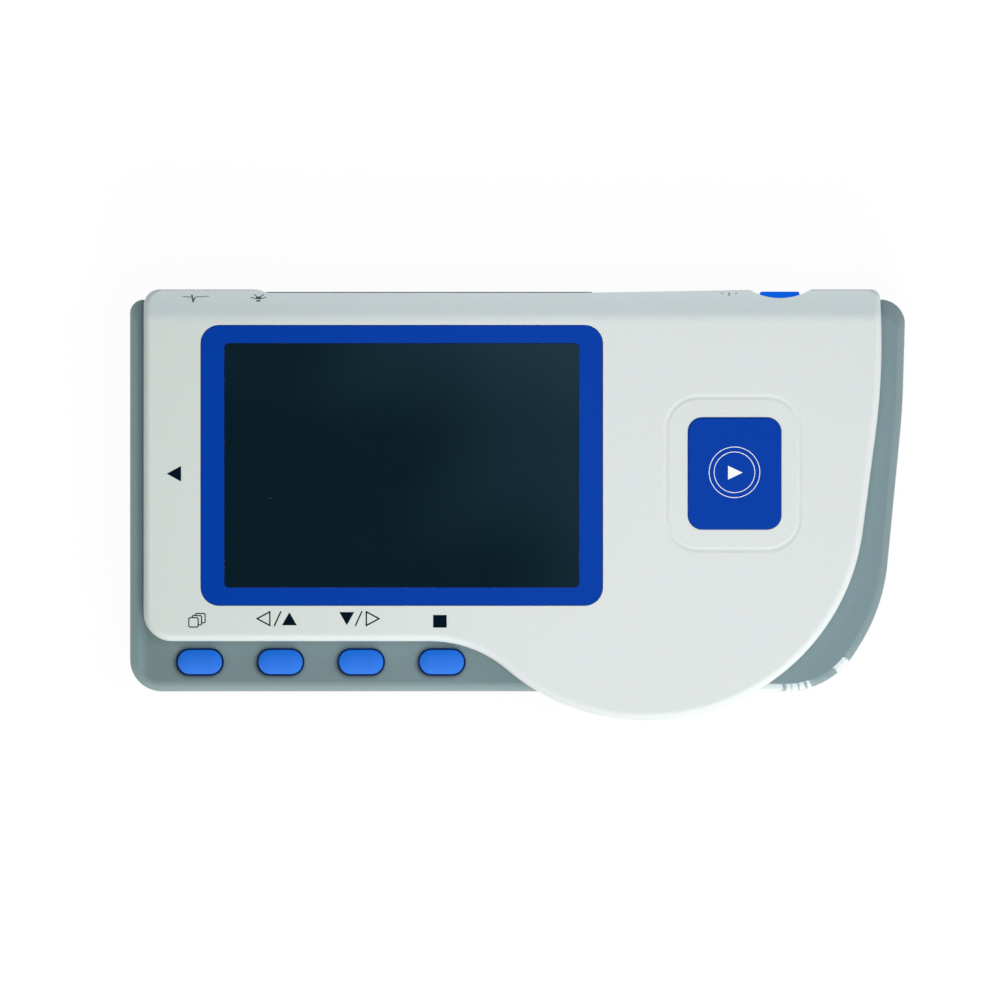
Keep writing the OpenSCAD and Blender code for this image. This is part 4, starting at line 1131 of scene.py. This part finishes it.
def light_only(light, piece):
    """Lets a lamp reach one piece alone."""
    receivers = bpy.data.collections.new(light.name + "_receivers")
    receivers.objects.link(piece)
    light.light_linking.receiver_collection = receivers


def lamp(name, place_at, size, power, target=(0, 0, 0.015)):
    """Square lamp in metres and watts that is itself left out of reflections."""
    data = bpy.data.lights.new(name, "AREA")
    data.shape = "SQUARE"
    data.size = size
    data.energy = power
    made = add_object(name, data)
    made.location = place_at
    made.rotation_euler = (Vector(target) - Vector(place_at)).to_track_quat("-Z", "Y").to_euler()
    made.visible_glossy = False
    return made


AMBIENT = 0.28
ZENITH_GLOW, HORIZON_GLOW, FLOOR_SHEEN = 0.05, 1.0, 0.6     # what glossy surfaces see
FLOOR_GLOW = 0.93               # share of the table that glows instead of taking light and shadow
FLOOR_HALF = 3.0
FLOOR_LEVEL = -0.0002
PANE_DISTANCE = 0.2
PANE_HEIGHT = 0.6
PANE_LEVEL = 0.15
PANE_RADIANCE = 9.5
# where each pane starts along X and how wide it is, in millimetres
PANES = [(39.2, 5.3), (45.6, 11.4), (60, 13), (77.5, 12), (97, 9), (198, 76)]


def glow(tree, kind, strength):
    """White emission or background of this strength."""
    return add(tree, kind, {"Color": (1, 1, 1, 1), "Strength": strength})


def mix_shaders(tree, factor, a, b):
    made = add(tree, "MixShader", {"Fac": factor})
    tree.links.new(a.outputs[0], made.inputs[1])
    tree.links.new(b.outputs[0], made.inputs[2])
    return made


def show_surface(tree, kind, shader):
    tree.links.new(shader.outputs[0], add(tree, kind).inputs["Surface"])


def world():
    """White backdrop for the camera, a plain ambient level, and a room dim overhead for reflections."""
    made = bpy.data.worlds.new("studio")
    made.use_nodes = True
    bpy.context.scene.world = made
    tree = made.node_tree
    tree.nodes.clear()
    path = add(tree, "LightPath").outputs
    direction = add(tree, "TexCoord").outputs["Generated"]
    height = add(tree, "SeparateXYZ", {"Vector": direction}).outputs["Z"]
    above = remap(tree, height, ZENITH_GLOW, HORIZON_GLOW, 0.9, 0.1)
    mirrored_level = maths(tree, "ADD", above, remap(tree, height, 0.0, FLOOR_SHEEN, -0.3, -0.7))
    mirrored = maths(tree, "MAXIMUM", path["Is Glossy Ray"], path["Is Transmission Ray"])
    room = glow(tree, "Background", AMBIENT)
    mirrored_room = glow(tree, "Background", mirrored_level)
    backdrop = glow(tree, "Background", 1.0)
    lit = mix_shaders(tree, mirrored, room, mirrored_room)
    show_surface(tree, "OutputWorld", mix_shaders(tree, path["Is Camera Ray"], lit, backdrop))


def floor():
    """White table that keeps a soft part of the object's shadow and is clear from below."""
    mesh = bmesh.new()
    mesh.faces.new([mesh.verts.new((x * FLOOR_HALF, y * FLOOR_HALF, FLOOR_LEVEL))
                    for x, y in ((-1, -1), (1, -1), (1, 1), (-1, 1))])
    data = bpy.data.meshes.new("floor")
    mesh.to_mesh(data)
    mesh.free()
    made = add_object("floor", data)
    material, tree = new_material("white_table")
    grain = noise(tree, coordinates(tree), 4, 3)
    shade = blend(tree, remap(tree, grain, 0, 1), (0.97, 0.97, 0.97, 1), (1, 1, 1, 1))
    diffuse = add(tree, "BsdfDiffuse", {"Color": shade})
    table = mix_shaders(tree, FLOOR_GLOW, diffuse, glow(tree, "Emission", 1.02))
    from_below = add(tree, "NewGeometry").outputs["Backfacing"]
    clear = add(tree, "BsdfTransparent")
    show_surface(tree, "OutputMaterial", mix_shaders(tree, from_below, table, clear))
    data.materials.append(material)
    made.visible_diffuse = False
    made.visible_glossy = False
    made.visible_shadow = False


def window_panes(seen_by):
    """Narrow bright panes that only show as reflections on the rounded lower right edge of one piece."""
    for k, (near, wide) in enumerate(PANES):
        data = bpy.data.lights.new(f"pane_{k}", "AREA")
        data.shape = "RECTANGLE"
        data.size = wide * MM
        data.size_y = PANE_HEIGHT
        data.energy = PANE_RADIANCE * math.pi * wide * MM * PANE_HEIGHT
        made = add_object(f"pane_{k}", data)
        made.location = ((near + wide / 2) * MM, -PANE_DISTANCE, PANE_LEVEL)
        made.rotation_euler = (math.pi / 2, 0, 0)
        made.visible_diffuse = False
        made.visible_camera = False
        light_only(made, seen_by)


def studio():
    bpy.context.scene.view_settings.view_transform = "Standard"
    camera()
    world()
    floor()
    lamp("key", (0.16, -0.72, 0.62), 0.45, 4.9)
    lamp("right", (0.75, 0.05, 0.42), 0.4, 1.7)
    lamp("left", (-0.75, -0.05, 0.42), 0.4, 0.75)
    lamp("overhead", (0.02, 0.0, 0.20), 0.12, 0.088)


studio()
dress_cad_nodes()
light_only(lamp("rim", (0.39, -0.68, 0.17), 0.3, 2.0), white_cover())
window_panes(front_frame())
display()
for oval in OVAL_KEYS:
    oval_key(oval)
start_key()
power_key()
face_signs()
edge_signs()
start_sign()
